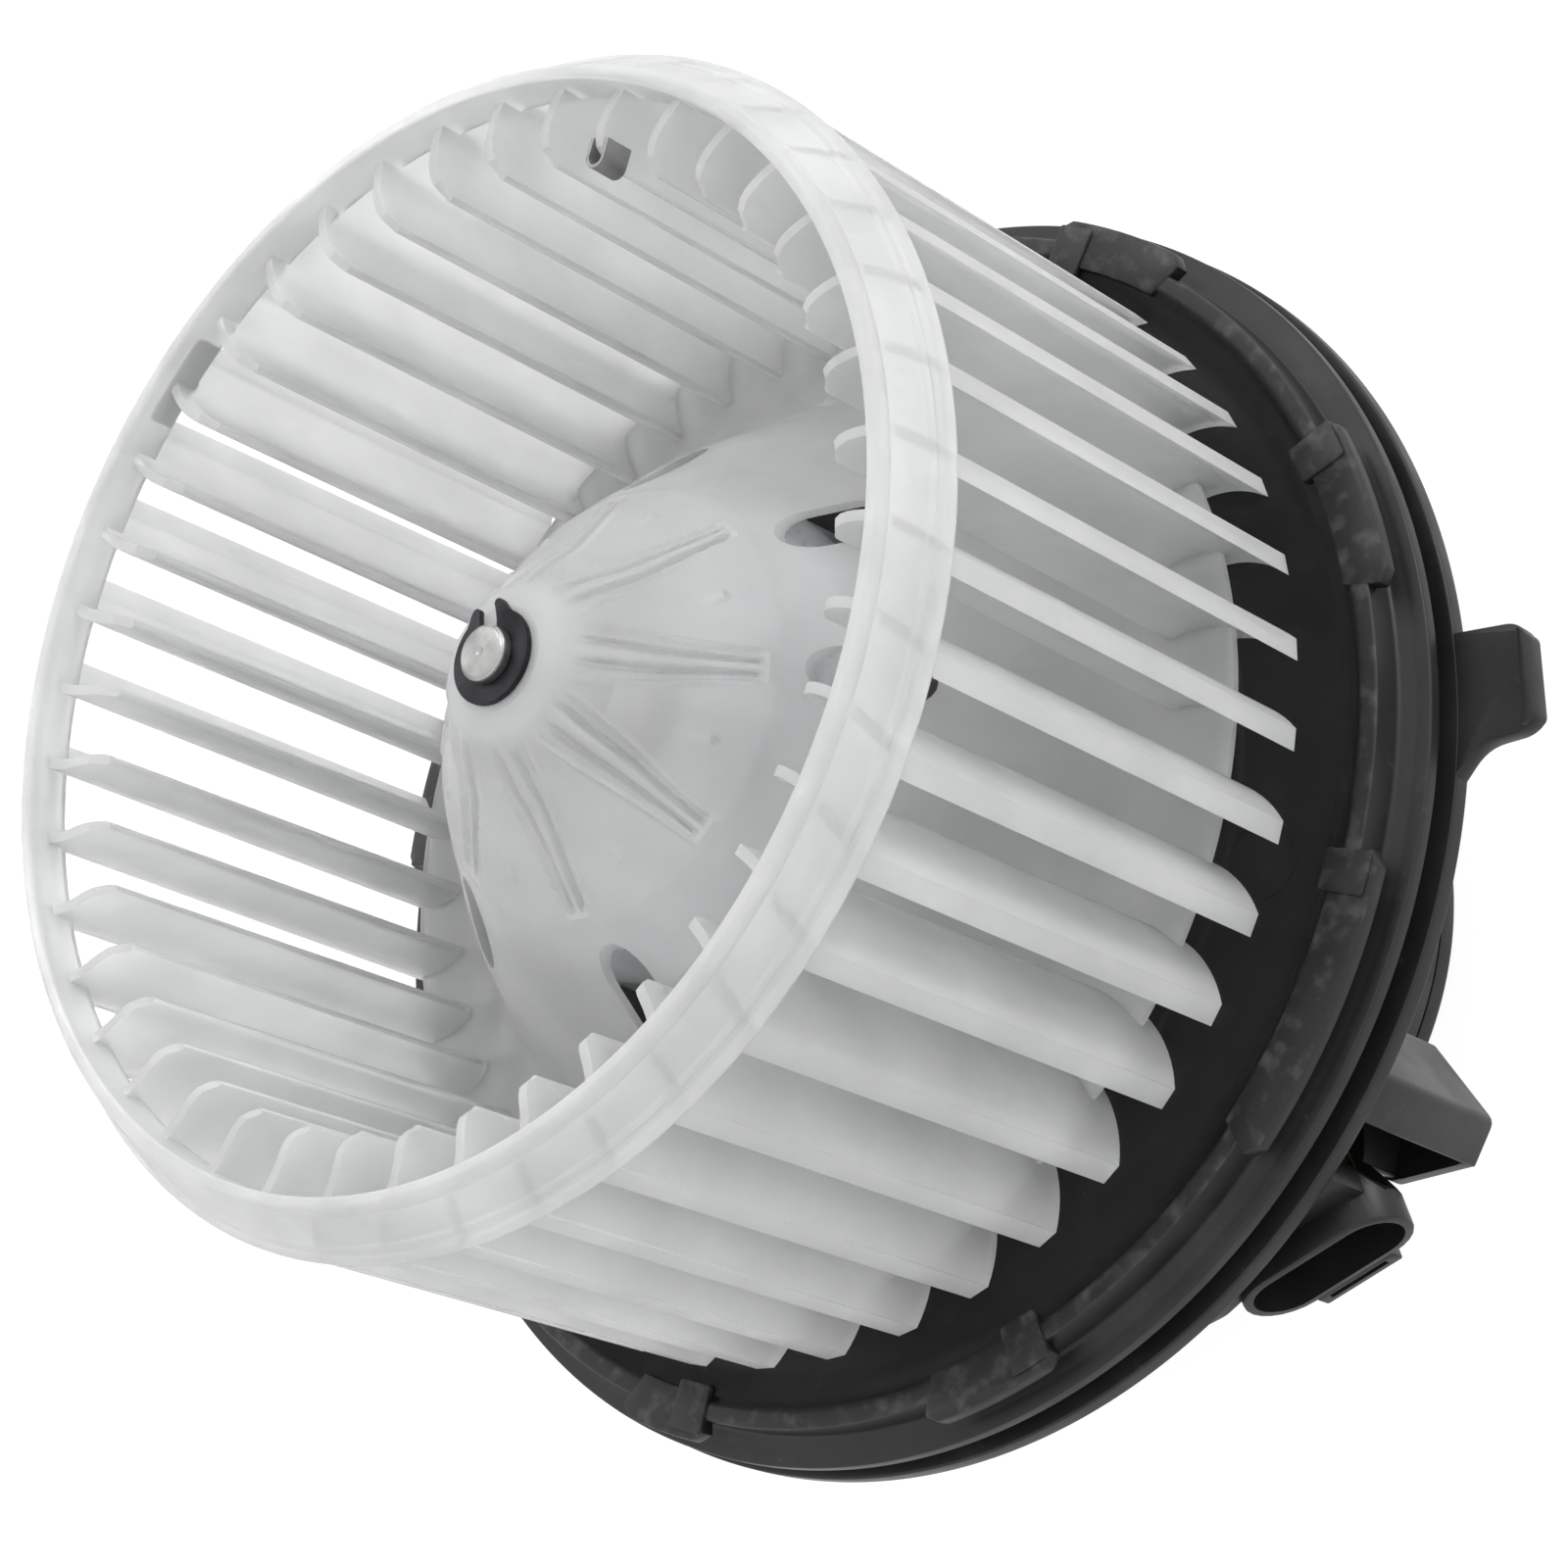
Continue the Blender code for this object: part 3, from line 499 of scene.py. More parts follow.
def blade_section(half):
    """Closed outline of a blade: hollow side, rounded inner edge, back, and its outer face."""
    back, hollow = [], []
    for station in range(BLADE_STATIONS + 1):
        middle, outward = camber(station / BLADE_STATIONS)
        back.append(middle + outward * half)
        hollow.append(middle - outward * half)
    back[0] = Vector(polar(BLADE_OUTER_R, BLADE_FACE))
    hollow[0] = Vector(polar(BLADE_OUTER_R, 0.0))
    middle, outward = camber(1.0)
    tip = []
    ahead = Vector((-outward.y, outward.x))
    if ahead.dot(middle) > 0:
        ahead = -ahead
    for step in range(1, BLADE_NOSE_STEPS):
        angle = math.pi * step / BLADE_NOSE_STEPS
        tip.append(middle - outward * half * math.cos(angle) + ahead * half * math.sin(angle))
    return hollow + tip + back[::-1]


def blade_top(radius):
    """Height of a blade's front edge: a round inner corner, a straight run, the ring's slope."""
    corner = BLADE_CORNER_R
    top = INLET_Z - BLADE_TOP_DROP
    if radius < BLADE_INNER_R + corner:
        reach = min(1.0, (BLADE_INNER_R + corner - radius) / corner)
        fall = 1 - math.sqrt(max(0.0, 1 - reach**2))
        return top - corner * BLADE_CORNER_FLATTENING * fall
    slope = RING_DEPTH / (RING_REAR_R - RING_FRONT_R)
    return min(top, INLET_Z - BLADE_RING_GAP - max(0.0, radius - RING_FRONT_R) * slope)


def wheel_blades():
    """Every blade as a closed strip, thicker at the rear."""
    front, rear = blade_section(BLADE_FRONT_T / 2), blade_section(BLADE_REAR_T / 2)
    count = len(front)
    half = count // 2
    points, faces = [], []
    for index in range(BLADES):
        turn = Matrix.Rotation(BLADE_FIRST + 2 * math.pi * index / BLADES, 2)
        start = len(points)
        for low, high in zip(rear, front):
            a, b = turn @ low, turn @ high
            points.append((a.x, a.y, BLADE_REAR_Z))
            points.append((b.x, b.y, blade_top(high.length)))
        for i in range(count):
            j = (i + 1) % count
            faces.append(tuple(start + n for n in (2 * i, 2 * j, 2 * j + 1, 2 * i + 1)))
        for i in range(half):
            j = count - 1 - i
            if j - i <= 1:
                break
            ring = (i, i + 1, j - 1, j) if j - 1 > i + 1 else (i, i + 1, j)
            for level in (0, 1):
                faces.append(tuple(start + 2 * n + level for n in ring))
    return object_of("blades", points, faces)


def wheel_ring():
    """Flared outer wall and straight inner wall joined at the inlet, with a bead at each edge."""
    top, rear = INLET_Z, INLET_Z - RING_DEPTH
    slope = (RING_REAR_R - RING_FRONT_R) / RING_DEPTH

    def wall(depth, proud=0.0):
        return RING_FRONT_R - 0.30 + depth * slope + proud, top - depth, 0.25

    corners = [
        (RING_FRONT_R - 0.35, top, 0.4),
        wall(0.55, 0.22),
        wall(1.15, 0.20),
        wall(1.45),
        wall(RING_DEPTH - 2.75),
        wall(RING_DEPTH - 2.55, 0.20),
        wall(RING_DEPTH - 2.05, 0.20),
        wall(RING_DEPTH - 1.85),
        wall(RING_DEPTH - 1.25),
        wall(RING_DEPTH - 1.05, 0.28),
        (RING_REAR_R, rear + 0.3, 0.3),
        (RING_REAR_R - 0.15, rear, 0.2),
        (RING_REAR_R - 1.35, rear, 0.4),
        (RING_REAR_R - 1.75, rear + 1.3, 0.3),
        (RING_FRONT_R - 0.45, top - 2.2, 0.4),
        (RING_FRONT_R - 0.55, rear + 2.0, 0.3),
        (RING_FRONT_R - 1.75, rear + 2.0, 0.3),
        (RING_FRONT_R - 1.70, top, 0.5),
    ]
    return lathe("ring", filleted(corners), 8 * BLADES)


HUB_LINE = [
    (6.95, 135.9),
    (8.9, 134.9),
    (11.6, 132.4),
    (14.3, 129.6),
    (17.0, 126.5),
    (27.9, 116.7),
    (34.0, 109.2),
    (39.4, 102.4),
    (43.9, 95.6),
    (47.6, 90.2),
    (53.0, 85.4),
    (58.5, 83.7),
    (65.2, 83.0),
]
HUB_WALL = 1.25
HUB_NOSE_Z, BOSS_LOW_Z, BORE_R = 136.2, 118.0, 3.55
HUB_INSIDE_R, HUB_INSIDE_GAP = 12.5, 2.5
HUB_STEPS = 600
HUB_CURVE_STEPS = 24
HUB_FINE_R, HUB_FINE_GAP, HUB_COARSE_GAP = 28.5, 0.5, 2.0
HUB_RIBS = 8
RIB_FIRST = math.radians(8.8)
RIB_START_R, RIB_END_R = (9.8, 12.4), (25.3, 25.9)
RIB_HALF, RIB_TAPER, RIB_TAPER_R = 3.3, 1.5, (10.0, 26.0)
RIB_CAP_R, RIB_CAP_HALF, RIB_CAP_HEIGHT, RIB_CAP_EDGE = 26.3, 0.8, 0.36, (1.7, 2.4)
RIB_HEIGHT, GROOVE_DEPTH, DIP_DEPTH, FLANK_HEIGHT = 0.18, 0.80, 0.20, 0.34
CONE_HEIGHT, CONE_END_R, CONE_START_R = 0.22, (27.2, 27.7), (8.0, 9.4)
GATE_FIRST = math.radians(31.3)
GATE_R, GATE_HEIGHT, GATE_EDGE = 22.4, 0.45, (0.60, 0.95)
VENTS = (-78.0, 10.0, 47.0, 102.0, 190.0, 227.0)
VENT_CENTRE_R = 34.0
VENT_HALF_LENGTH, VENT_HALF_WIDTH = 4.9, 3.3
VENT_LOW_Z, VENT_TOP_Z = 88.0, 126.0


def bell(value, centre, half):
    """Smooth hump, 1 at the centre and 0 beyond half from it."""
    reach = abs(value - centre) / half
    return 0.0 if reach >= 1 else (1 - reach * reach) ** 2


def step_up(value, start, stop):
    t = min(1.0, max(0.0, (value - start) / (stop - start)))
    return t * t * (3 - 2 * t)


def around(angle, first):
    """Angle from the nearest of the hub's evenly spaced features, the first of them at first."""
    pitch = 2 * math.pi / HUB_RIBS
    return (angle - first + pitch / 2) % pitch - pitch / 2


def hub_relief(radius, angle):
    """Height of the moulded relief: ribs with a groove each side, their cone's edge, gate marks."""
    across = abs(around(angle, RIB_FIRST) * radius)
    along = step_up(radius, *RIB_START_R) * (1 - step_up(radius, *RIB_END_R))
    half = RIB_HALF - RIB_TAPER * step_up(radius, *RIB_TAPER_R)
    relief = along * RIB_HEIGHT * (1 - step_up(across, half * 0.10, half * 0.24))
    groove = 1 - step_up(abs(across - half * 0.43), half * 0.09, half * 0.21)
    relief -= along * GROOVE_DEPTH * groove
    dip = 1 - step_up(abs(across - half * 0.78), half * 0.10, half * 0.22)
    relief -= along * DIP_DEPTH * dip
    relief += along * FLANK_HEIGHT * bell(across, half * 1.06, 0.48)
    ends = bell(radius, RIB_CAP_R, RIB_CAP_HALF) * (1 - step_up(across, *RIB_CAP_EDGE))
    cone = (1 - step_up(radius, *CONE_END_R)) * step_up(radius, *CONE_START_R)
    relief += RIB_CAP_HEIGHT * ends + CONE_HEIGHT * cone
    spread = math.hypot(around(angle, GATE_FIRST) * radius, radius - GATE_R)
    relief += GATE_HEIGHT * (1 - step_up(spread, *GATE_EDGE))
    outer_ring, inner_ring = bell(radius, 41.0, 1.0), bell(radius, 33.0, 0.8)
    relief += 0.06 * outer_ring + 0.05 * inner_ring
    return relief


def hub_gap(radius):
    return HUB_FINE_GAP if radius < HUB_FINE_R else HUB_COARSE_GAP


def wheel_hub():
    """Conical hub with its wall, its boss on the shaft and its vent holes."""
    fine = spaced(through(HUB_LINE, HUB_CURVE_STEPS), hub_gap)
    outer = [(6.6, HUB_NOSE_Z)] + fine + [(66.0, 82.6), (66.0, 81.7), (65.6, 81.3)]
    shown = len(fine)
    inner = []
    for i, point in enumerate(fine):
        before, after = Vector(fine[max(i - 1, 0)]), Vector(fine[min(i + 1, len(fine) - 1)])
        along = (after - before).normalized()
        moved = (point[0] + along.y * HUB_WALL, point[1] - along.x * HUB_WALL)
        apart = not inner or math.dist(moved, inner[-1]) > HUB_INSIDE_GAP
        if moved[0] > HUB_INSIDE_R and apart:
            inner.append(moved)
    boss = [(8.6, 124.0), (7.2, 121.5), (6.5, 118.3), (6.2, BOSS_LOW_Z), (3.75, BOSS_LOW_Z)]
    boss += [(BORE_R, 118.3), (BORE_R, 135.8), (3.75, HUB_NOSE_Z), (5.0, HUB_NOSE_Z)]
    profile = outer + inner[::-1] + boss

    def lift(i, angle):
        return hub_relief(profile[i][0], angle) if 1 <= i <= shown else 0.0

    hub = lathe("hub", profile, HUB_STEPS, lift)
    cutters = []
    for angle in VENTS:
        place = turn_z(angle) @ shift(VENT_CENTRE_R, 0, 0)
        outline = stadium(VENT_HALF_LENGTH, VENT_HALF_WIDTH)
        cutters.append(prism("vent", outline, VENT_LOW_Z, VENT_TOP_Z, place))
    return combine(hub, cutters, "DIFFERENCE")


def make_wheel():
    """Hub, ring and blades as one closed moulding, with a seat for the balance strip."""
    low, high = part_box("balance_clip_2")
    room = STRIP_ROOM
    inner, outer = STRIP_R[0] - room, STRIP_R[1] + room
    seat = sector(inner, outer, STRIP_ANGLES[0] - room, STRIP_ANGLES[1] + room)
    bottom, top = low.z / MM + STRIP_LIFT - room, high.z / MM + STRIP_LIFT + room
    slot = prism("strip_seat", seat, bottom, top)
    vanes = combine(wheel_blades(), [slot], "DIFFERENCE")
    wheel = combine(wheel_hub(), [wheel_ring(), vanes], "UNION")
    wheel.name = "fan_wheel"
    smooth(wheel, 30.0)
    return show(wheel, "rotor", MILKY, ["impeller"])


# ---------------------------------------------------------------- shaft, clips
def make_shaft():
    """Turned shaft with a centre hole in its end and a groove for the clip."""
    end = SHAFT_END_Z
    corners = [
        (0.0, end - 0.35, 0),
        (0.55, end, 0.05),
        (SHAFT_R - 0.55, end, 0.15),
        (SHAFT_R, end - 0.55, 0.15),
        (SHAFT_R, CLIP_Z + 0.5, 0.05),
        (SHAFT_R - 0.7, CLIP_Z + 0.5, 0.05),
        (SHAFT_R - 0.7, CLIP_Z - 0.5, 0.05),
        (SHAFT_R, CLIP_Z - 0.5, 0.05),
        (SHAFT_R, shaft_low.z / MM + 0.5, 0.1),
        (SHAFT_R - 0.5, shaft_low.z / MM, 0.1),
        (0.0, shaft_low.z / MM, 0),
    ]
    shaft = smooth(lathe("motor_shaft", filleted(corners, 3), 96))
    return show(shaft, "rotor", TURNED, ["shaft"])


def make_e_clip():
    """Open spring ring in the shaft's groove, with a rounded lug each side of its mouth."""
    lug = [(5.9, 35.0), (6.2, 29.0), (6.8, 22.0), (7.12, 17.0), (7.12, 13.5)]
    lug += [(6.85, 11.0), (6.45, 10.6), (5.9, 12.5), (4.4, 18.0), (3.0, 24.0)]
    bore = [(3.0, angle) for angle in span(27.0, 333.0, 60)]
    other = [(radius, 360.0 - angle) for radius, angle in reversed(lug)]
    rim = [(5.9, angle) for angle in span(321.0, 39.0, 60)]
    outline = [polar(radius, math.radians(angle)) for radius, angle in lug + bore + other + rim]
    clip = prism("retaining_clip", outline, clip_low.z / MM, clip_high.z / MM, turn_z(CLIP_MOUTH))
    return show(smooth(round_edges(clip, 0.14)), "rotor", PHOSPHATE, ["e_clip"])


def make_balance_clip():
    """Folded spring clip pushed outwards over the inner edge of a blade, near its front corner."""
    middle, outward = camber(0.9)
    across = math.atan2(outward.y, outward.x)
    place = Matrix.Rotation(BLADE_FIRST + 2 * math.pi * BALANCED_BLADE / BLADES, 4, "Z")
    place = place @ shift(middle.x, middle.y, INLET_Z - 5.6) @ Matrix.Rotation(across, 4, "Z")
    along = Vector((-outward.y, outward.x))
    inward = 1.0 if along.dot(middle) < 0 else -1.0
    half, wall, fold, open_end = 1.45, 0.45, 3.2 - 1.45, -0.6
    thin = half - wall

    def bend(radius, start, stop):
        return [(x, fold + y) for x, y in (polar(radius, a) for a in span(start, stop, 14))]

    outside = [(-half, open_end), *bend(half, math.pi, 0), (half, open_end)]
    inside = [(thin, open_end), *bend(thin, 0, math.pi), (-thin, open_end)]
    outline = [(x, y * inward) for x, y in outside + inside]
    clip = prism("balance_clip", outline, -1.7, 2.3, place)
    return show(smooth(round_edges(clip, 0.12)), "rotor", SPRING, ["balance_clip_1"])


def make_balance_strip():
    """Steel strip in the ring's channel, through the edge of the blade that crosses it."""
    low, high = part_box("balance_clip_2")
    outline = filleted([(*p, 0.15) for p in sector(*STRIP_R, *STRIP_ANGLES, 1.0)], 1)
    bottom, top = low.z / MM + STRIP_LIFT, high.z / MM + STRIP_LIFT
    strip = prism("balance_strip", outline, bottom, top)
    return show(smooth(round_edges(strip, 0.12)), "rotor", DULL, ["balance_clip_2"])


# ---------------------------------------------------------------- base
LUGS = (
    (62.9, 78.5),
    (20.8, 38.0),
    (-30.0, -2.6),
    (-68.0, -54.0),
    (-104.0, -93.5),
    (168.0, 186.0),
)
SCREWS = (90.0, 210.0, 330.0)
SCREW_CIRCLE = 39.3
PLUG_MOUTH = (66.5, -48.3, 47.5)
PLUG_ANGLE = math.radians(-56.0)
PLUG_HALF_W, PLUG_HALF_H, PLUG_RIM = 10.5, 4.5, 1.2
SHROUD_DEPTH, SOCKET_DEPTH, TERMINAL_OFFSET = 20.0, 16.0, 4.6
REAR_RIBS = 12
BOSS_R, PILOT_R = 3.7, 1.55
HEAD_RECESS_R, SCREW_HOLE_R = 3.2, 1.7
BOSS_TOP_Z, PILOT_TOP_Z = 22.0, 21.0
HOOD_LOW_Z, SHELF_TOP_Z = 34.4, 36.6
CAVITY_LOW_Z, CAVITY_TOP_Z = 36.4, 56.0
WEB_LOW_Z = 50.0
LUG_INNER_R, LUG_OUTER_R, LUG_CUT = 75.0, 81.0, 1.8

# Outlines seen from the inlet, as corners (x, y, rounding)
TAB = [
    (77.0, 8.0, 0),
    (81.9, 7.6, 0),
    (84.3, 12.0, 3.5),
    (90.0, 13.5, 1.6),
    (91.6, 15.0, 1.6),
    (88.6, 25.4, 1.6),
    (86.4, 26.8, 1.6),
    (77.8, 25.6, 1.0),
    (74.5, 24.5, 0),
]
TAB_EDGE = [
    (90.2, 13.9, 0.4),
    (91.6, 15.3, 0.6),
    (88.8, 25.2, 0.6),
    (87.4, 26.0, 0.4),
    (88.0, 24.0, 0.3),
    (90.1, 15.8, 0.3),
]
HOOD = [
    (77.3, -27.0, 1.0),
    (75.6, -32.8, 0.4),
    (64.0, -28.6, 0.8),
    (64.4, -20.4, 0.8),
    (67.0, -17.9, 0.6),
]
HOOD_SHELF = [
    (75.6, -32.6, 0.4),
    (73.0, -28.0, 0),
    (63.0, -28.0, 0),
    (61.5, -33.0, 0),
    (65.4, -35.6, 0.6),
]
HOOD_SIDE = [(64.2, -24.0, 0), (66.0, -24.0, 0), (66.2, -35.2, 0.4), (64.6, -35.0, 0.4)]
HOOD_CAVITY = [
    (75.5, -26.3, 0.5),
    (73.8, -38.8, 0),
    (65.8, -34.6, 0),
    (66.2, -22.2, 0.5),
    (67.0, -20.4, 0.5),
]
PLUG_WEB = [
    (58.0, -52.6, 0.5),
    (55.0, -55.6, 0.8),
    (51.4, -57.6, 1.5),
    (45.0, -60.0, 2.0),
    (40.6, -63.9, 1.0),
    (37.0, -60.0, 0.5),
    (50.0, -49.0, 0),
    (60.0, -47.5, 0),
]


def base_shell():
    """Dish floor, channel wall, two rims with a groove between, and the motor cup behind."""
    under, wall = FLOOR_Z - 2.5, GROOVE_R - 2.7
    corners = [
        (33.0, FLOOR_Z, 0.4),
        (57.0, FLOOR_Z, 0.2),
        (57.6, FLOOR_Z - 0.35, 0.2),
        (71.6, FLOOR_Z - 0.35, 1.5),
        (74.6, FLOOR_Z + 1.6, 1.5),
        (75.9, RIB_Z, 0.5),
        (CHANNEL_R, RIB_Z, 0.4),
        (CHANNEL_R, RIM_Z + 1.1, 0.6),
        (80.2, RIM_Z + 0.35, 0.3),
        (RIM_R, RIM_Z, 0.35),
        (RIM_R, GROOVE_TOP_Z, 0.3),
        (GROOVE_R, GROOVE_TOP_Z, 0.3),
        (GROOVE_R, GROOVE_LOW_Z, 0.3),
        (RIM_R + 0.5, GROOVE_LOW_Z, 0.35),
        (RIM_R + 0.5, REAR_Z, 0.35),
        (wall, REAR_Z, 0.3),
        (wall, under, 0.8),
        (CUP_R + 2.0, under, 0.4),
        (CUP_R, under - 2.0, 0.8),
        (CUP_R, COVER_T + 0.3, 0.3),
        (CUP_R - 2.2, COVER_T + 0.3, 0.3),
        (CUP_R - 2.2, under, 0.4),
        (33.0, under, 0.4),
    ]
    return lathe("base_shell", filleted(corners), 360)


def bevelled_lug(start, stop):
    """Bayonet lug: a block over the channel wall with cut outer corners, ending in a raised pad."""
    inner, outer = LUG_INNER_R, LUG_OUTER_R
    cut = math.degrees(LUG_CUT / outer)
    outline = sector(inner, outer - 1.2, start, stop, 1.5)
    arc = sector(inner, outer, start + cut, stop - cut, 1.5)
    half = len(arc) // 2
    outline = arc[:half] + [outline[len(outline) // 2 - 1]] + arc[half:] + [outline[0]]
    lug = prism("lug", outline, RIB_Z - 2.1, RIB_Z + 0.12, None, 0.3)
    pad = [(*p, 0.4) for p in sector(inner - 1.2, outer - 0.8, stop - 4.2, stop - 0.2, 1.4)]
    raised = prism("pad", filleted(pad, 2), RIB_Z - 1.0, RIB_Z + 0.45, None, 0.25)
    return combine(lug, [raised], "UNION")


def plug_frame():
    """Placement with its origin in the plug's mouth, X across it and Z out of it."""
    along = Vector((-math.sin(PLUG_ANGLE), math.cos(PLUG_ANGLE), 0))
    out = Vector((math.cos(PLUG_ANGLE), math.sin(PLUG_ANGLE), 0))
    turn = Matrix((along, out.cross(along), out)).transposed().to_4x4()
    return shift(*PLUG_MOUTH) @ turn


def screw_centres():
    return [polar(SCREW_CIRCLE, math.radians(angle)) for angle in SCREWS]


def rim_parts():
    """Lugs, the handling tab, the ribs behind the rim and the screw bosses."""
    parts = [bevelled_lug(start, stop) for start, stop in LUGS]
    tab = filleted(TAB, 6)
    parts.append(prism("tab", tab, REAR_Z + 0.05, GROOVE_LOW_Z - 0.05, None, 0.3))
    edge = filleted(TAB_EDGE, 3)
    parts.append(prism("tab_edge", edge, REAR_Z + 0.1, GROOVE_LOW_Z + 0.9, None, 0.2))
    for index in range(REAR_RIBS):
        place = turn_z(360 * (index + 0.5) / REAR_RIBS) @ shift(60.6, 0, 63.6)
        parts.append(block("rear_rib", (34.0, 2.0, 6.4), place, 0.3))
    for centre in screw_centres():
        outline = disc(centre, BOSS_R, 32)
        parts.append(prism("boss", outline, COVER_T + 0.3, BOSS_TOP_Z, None, 0.2))
    return parts


def plug_parts(place):
    """Shroud of the plug, its foot and post, and the rail of its latch."""
    shroud = stadium(PLUG_HALF_W + PLUG_RIM, PLUG_HALF_H + PLUG_RIM)
    return [
        prism("shroud", shroud, -SHROUD_DEPTH, 0.0, place, 0.35),
        block("shroud_foot", (20.0, 7.2, 16.0), place @ shift(0, 7.4, -11.5), 0.6),
        block("shroud_post", (17.0, 15.0, 9.0), place @ shift(0, 11.3, -15.2), 0.8),
        block("latch_rail", (11.5, 2.6, 10.1), place @ shift(0, -6.6, -5.0), 0.3),
    ]


def hood_parts():
    """Duct block beside the plug with its shelf and side, the web, and a mould mark on the dish."""
    hood_top = REAR_Z + 0.2
    parts = [
        prism("hood", filleted(HOOD, 3), HOOD_LOW_Z, hood_top, None, 0.4),
        prism("hood_shelf", filleted(HOOD_SHELF, 3), HOOD_LOW_Z, SHELF_TOP_Z, None, 0.3),
        prism("plug_web", filleted(PLUG_WEB, 3), WEB_LOW_Z, REAR_Z + 0.3, None, 0.4),
        prism("hood_side", filleted(HOOD_SIDE, 3), HOOD_LOW_Z + 0.2, hood_top, None, 0.2),
    ]
    ring = [(4.55, -0.6, 0), (4.55, 0.12, 0.08), (4.90, 0.12, 0.08), (4.90, -0.6, 0)]
    mark = lathe("mould_mark", filleted(ring, 2), 64)
    mark.data.transform(turn_z(-4.0) @ shift(62.3, 0, FLOOR_Z - 0.35))
    parts.append(mark)
    parts.append(block("hood_root", (9.0, 6.0, 9.6), shift(69.3, -24.5, 62.0), 0.3))
    return parts


def base_hollows(place):
    """What is cut from the base: the plug's socket and slots, the duct, and the screws' pilots."""
    cutters = [prism("socket", stadium(PLUG_HALF_W, PLUG_HALF_H), -SOCKET_DEPTH, 2.0, place)]
    for side in (-1, 1):
        slot = place @ shift(side * TERMINAL_OFFSET, 0, -SHROUD_DEPTH)
        cutters.append(block("terminal_slot", (6.9, 1.4, 12.0), slot))
    cutters.append(block("latch_slot", (8.5, 0.9, 14.0), place @ shift(0, -6.4, -5.0)))
    cavity = filleted(HOOD_CAVITY, 3)
    cutters.append(prism("hood_cavity", cavity, CAVITY_LOW_Z, CAVITY_TOP_Z))
    for centre in screw_centres():
        cutters.append(prism("pilot", disc(centre, PILOT_R, 20), COVER_T, PILOT_TOP_Z))
    return cutters


def make_base():
    """Base in one closed piece: the shell, all that stands on it, less its hollows."""
    place = plug_frame()
    base = base_shell()
    combine(base, rim_parts() + plug_parts(place) + hood_parts(), "UNION")
    combine(base, base_hollows(place), "DIFFERENCE")
    base.name = "moulded_base"
    smooth(base, 30.0)
    return show(base, "base", BLACK, ["motor_flange"])


def make_cover():
    """Flat cover that closes the cup, with a sunk hole for each screw."""
    corners = [
        (0.0, 0.0, 0),
        (CUP_R - 0.8, 0.0, 0.4),
        (CUP_R, 0.8, 0.4),
        (CUP_R, COVER_T, 0.2),
        (0.0, COVER_T, 0),
    ]
    cover = lathe("cup_cover", filleted(corners, 3), 180)
    cutters = []
    for centre in screw_centres():
        cutters.append(prism("hole", disc(centre, HEAD_RECESS_R, 40), -1.0, 2.2))
        cutters.append(prism("hole", disc(centre, SCREW_HOLE_R, 40), 2.0, COVER_T + 1))
    combine(cover, cutters, "DIFFERENCE")
    return show(smooth(cover), "base", BLACK, ["rear_cover"])


def make_screw(name, centre, node):
    """Screw with a domed head and a cross recess."""
    corners = [
        (0.0, 16.0, 0),
        (1.25, 14.6, 0.2),
        (1.25, 1.9, 0.1),
        (2.8, 1.9, 0.1),
        (2.8, 1.0, 0.5),
        (2.0, 0.4, 0.5),
        (0.0, 0.4, 0),
    ]
    screw = lathe(name, filleted(corners, 3), 40)
    depth = shift(0, 0, 0.6)
    recess = [block("slot", (3.0, 0.62, 1.3), turn_z(turn) @ depth) for turn in (20.0, 110.0)]
    combine(screw, recess, "DIFFERENCE")
    screw.data.transform(shift(*centre, 0))
    return show(smooth(screw), "base", PHOSPHATE, [node])


def make_can():
    """Deep-drawn can with a bearing boss and a rolled bead near the base."""
    front = can_high.z / MM - 6.0
    wall, rear = 1.5, can_low.z / MM
    corners = [
        (4.5, front + 6.0, 0.3),
        (8.6, front + 6.0, 1.0),
        (9.3, front + 5.0, 0.6),
        (9.3, front + 1.5, 0.9),
        (CAN_R - 2.6, front, 1.6),
        (CAN_R, front - 2.6, 1.6),
        (CAN_R, rear + 8.0, 0.3),
        (CAN_R - 0.5, rear + 7.4, 0.3),
        (CAN_R, rear + 6.8, 0.3),
        (CAN_R, rear, 0.2),
        (CAN_R - wall, rear, 0.2),
        (CAN_R - wall, front - 3.0, 1.0),
        (CAN_R - 3.0, front - wall, 1.0),
        (7.8, front - 0.2, 0.2),
        (7.8, front + 4.6, 0.2),
        (4.5, front + 4.6, 0.2),
    ]
    can = smooth(lathe("steel_can", filleted(corners), 180))
    return show(can, "base", DRAWN, ["motor_can"])


make_wheel()
make_shaft()
make_e_clip()
make_balance_clip()
make_balance_strip()
make_base()
make_cover()
for number, screw_centre in enumerate(screw_centres(), 1):
    make_screw(f"tapping_screw_{number}", screw_centre, f"cover_screw_{number}")
make_can()

carried = {
    "thrust_washer": NYLON,
    "armature_core": LAMINATE,
    "armature_winding_front": WOUND,
    "armature_winding_rear": WOUND,
    "commutator": COPPER,
    "isolator_front": RUBBER,
    "isolator_rear": RUBBER,
    "motor_end_plate": DRAWN,
    "front_bearing": SINTER,
    "rear_bearing": SINTER,
    "magnet_1": FERRITE,
    "magnet_2": FERRITE,
    "brush_card": CARD,
    "brush_holder_1": BRASS,
    "brush_holder_2": BRASS,
    "brush_1": CARBON,
    "brush_2": CARBON,
    "brush_spring_1": SPRING,
    "brush_spring_2": SPRING,
    "choke_1": WOUND,
    "choke_2": WOUND,
    "terminal_1": BRASS,
    "terminal_2": BRASS,
}
for node_name, look in carried.items():
    node = nodes[node_name]
    node.data.materials.clear()
    node.data.materials.append(look)


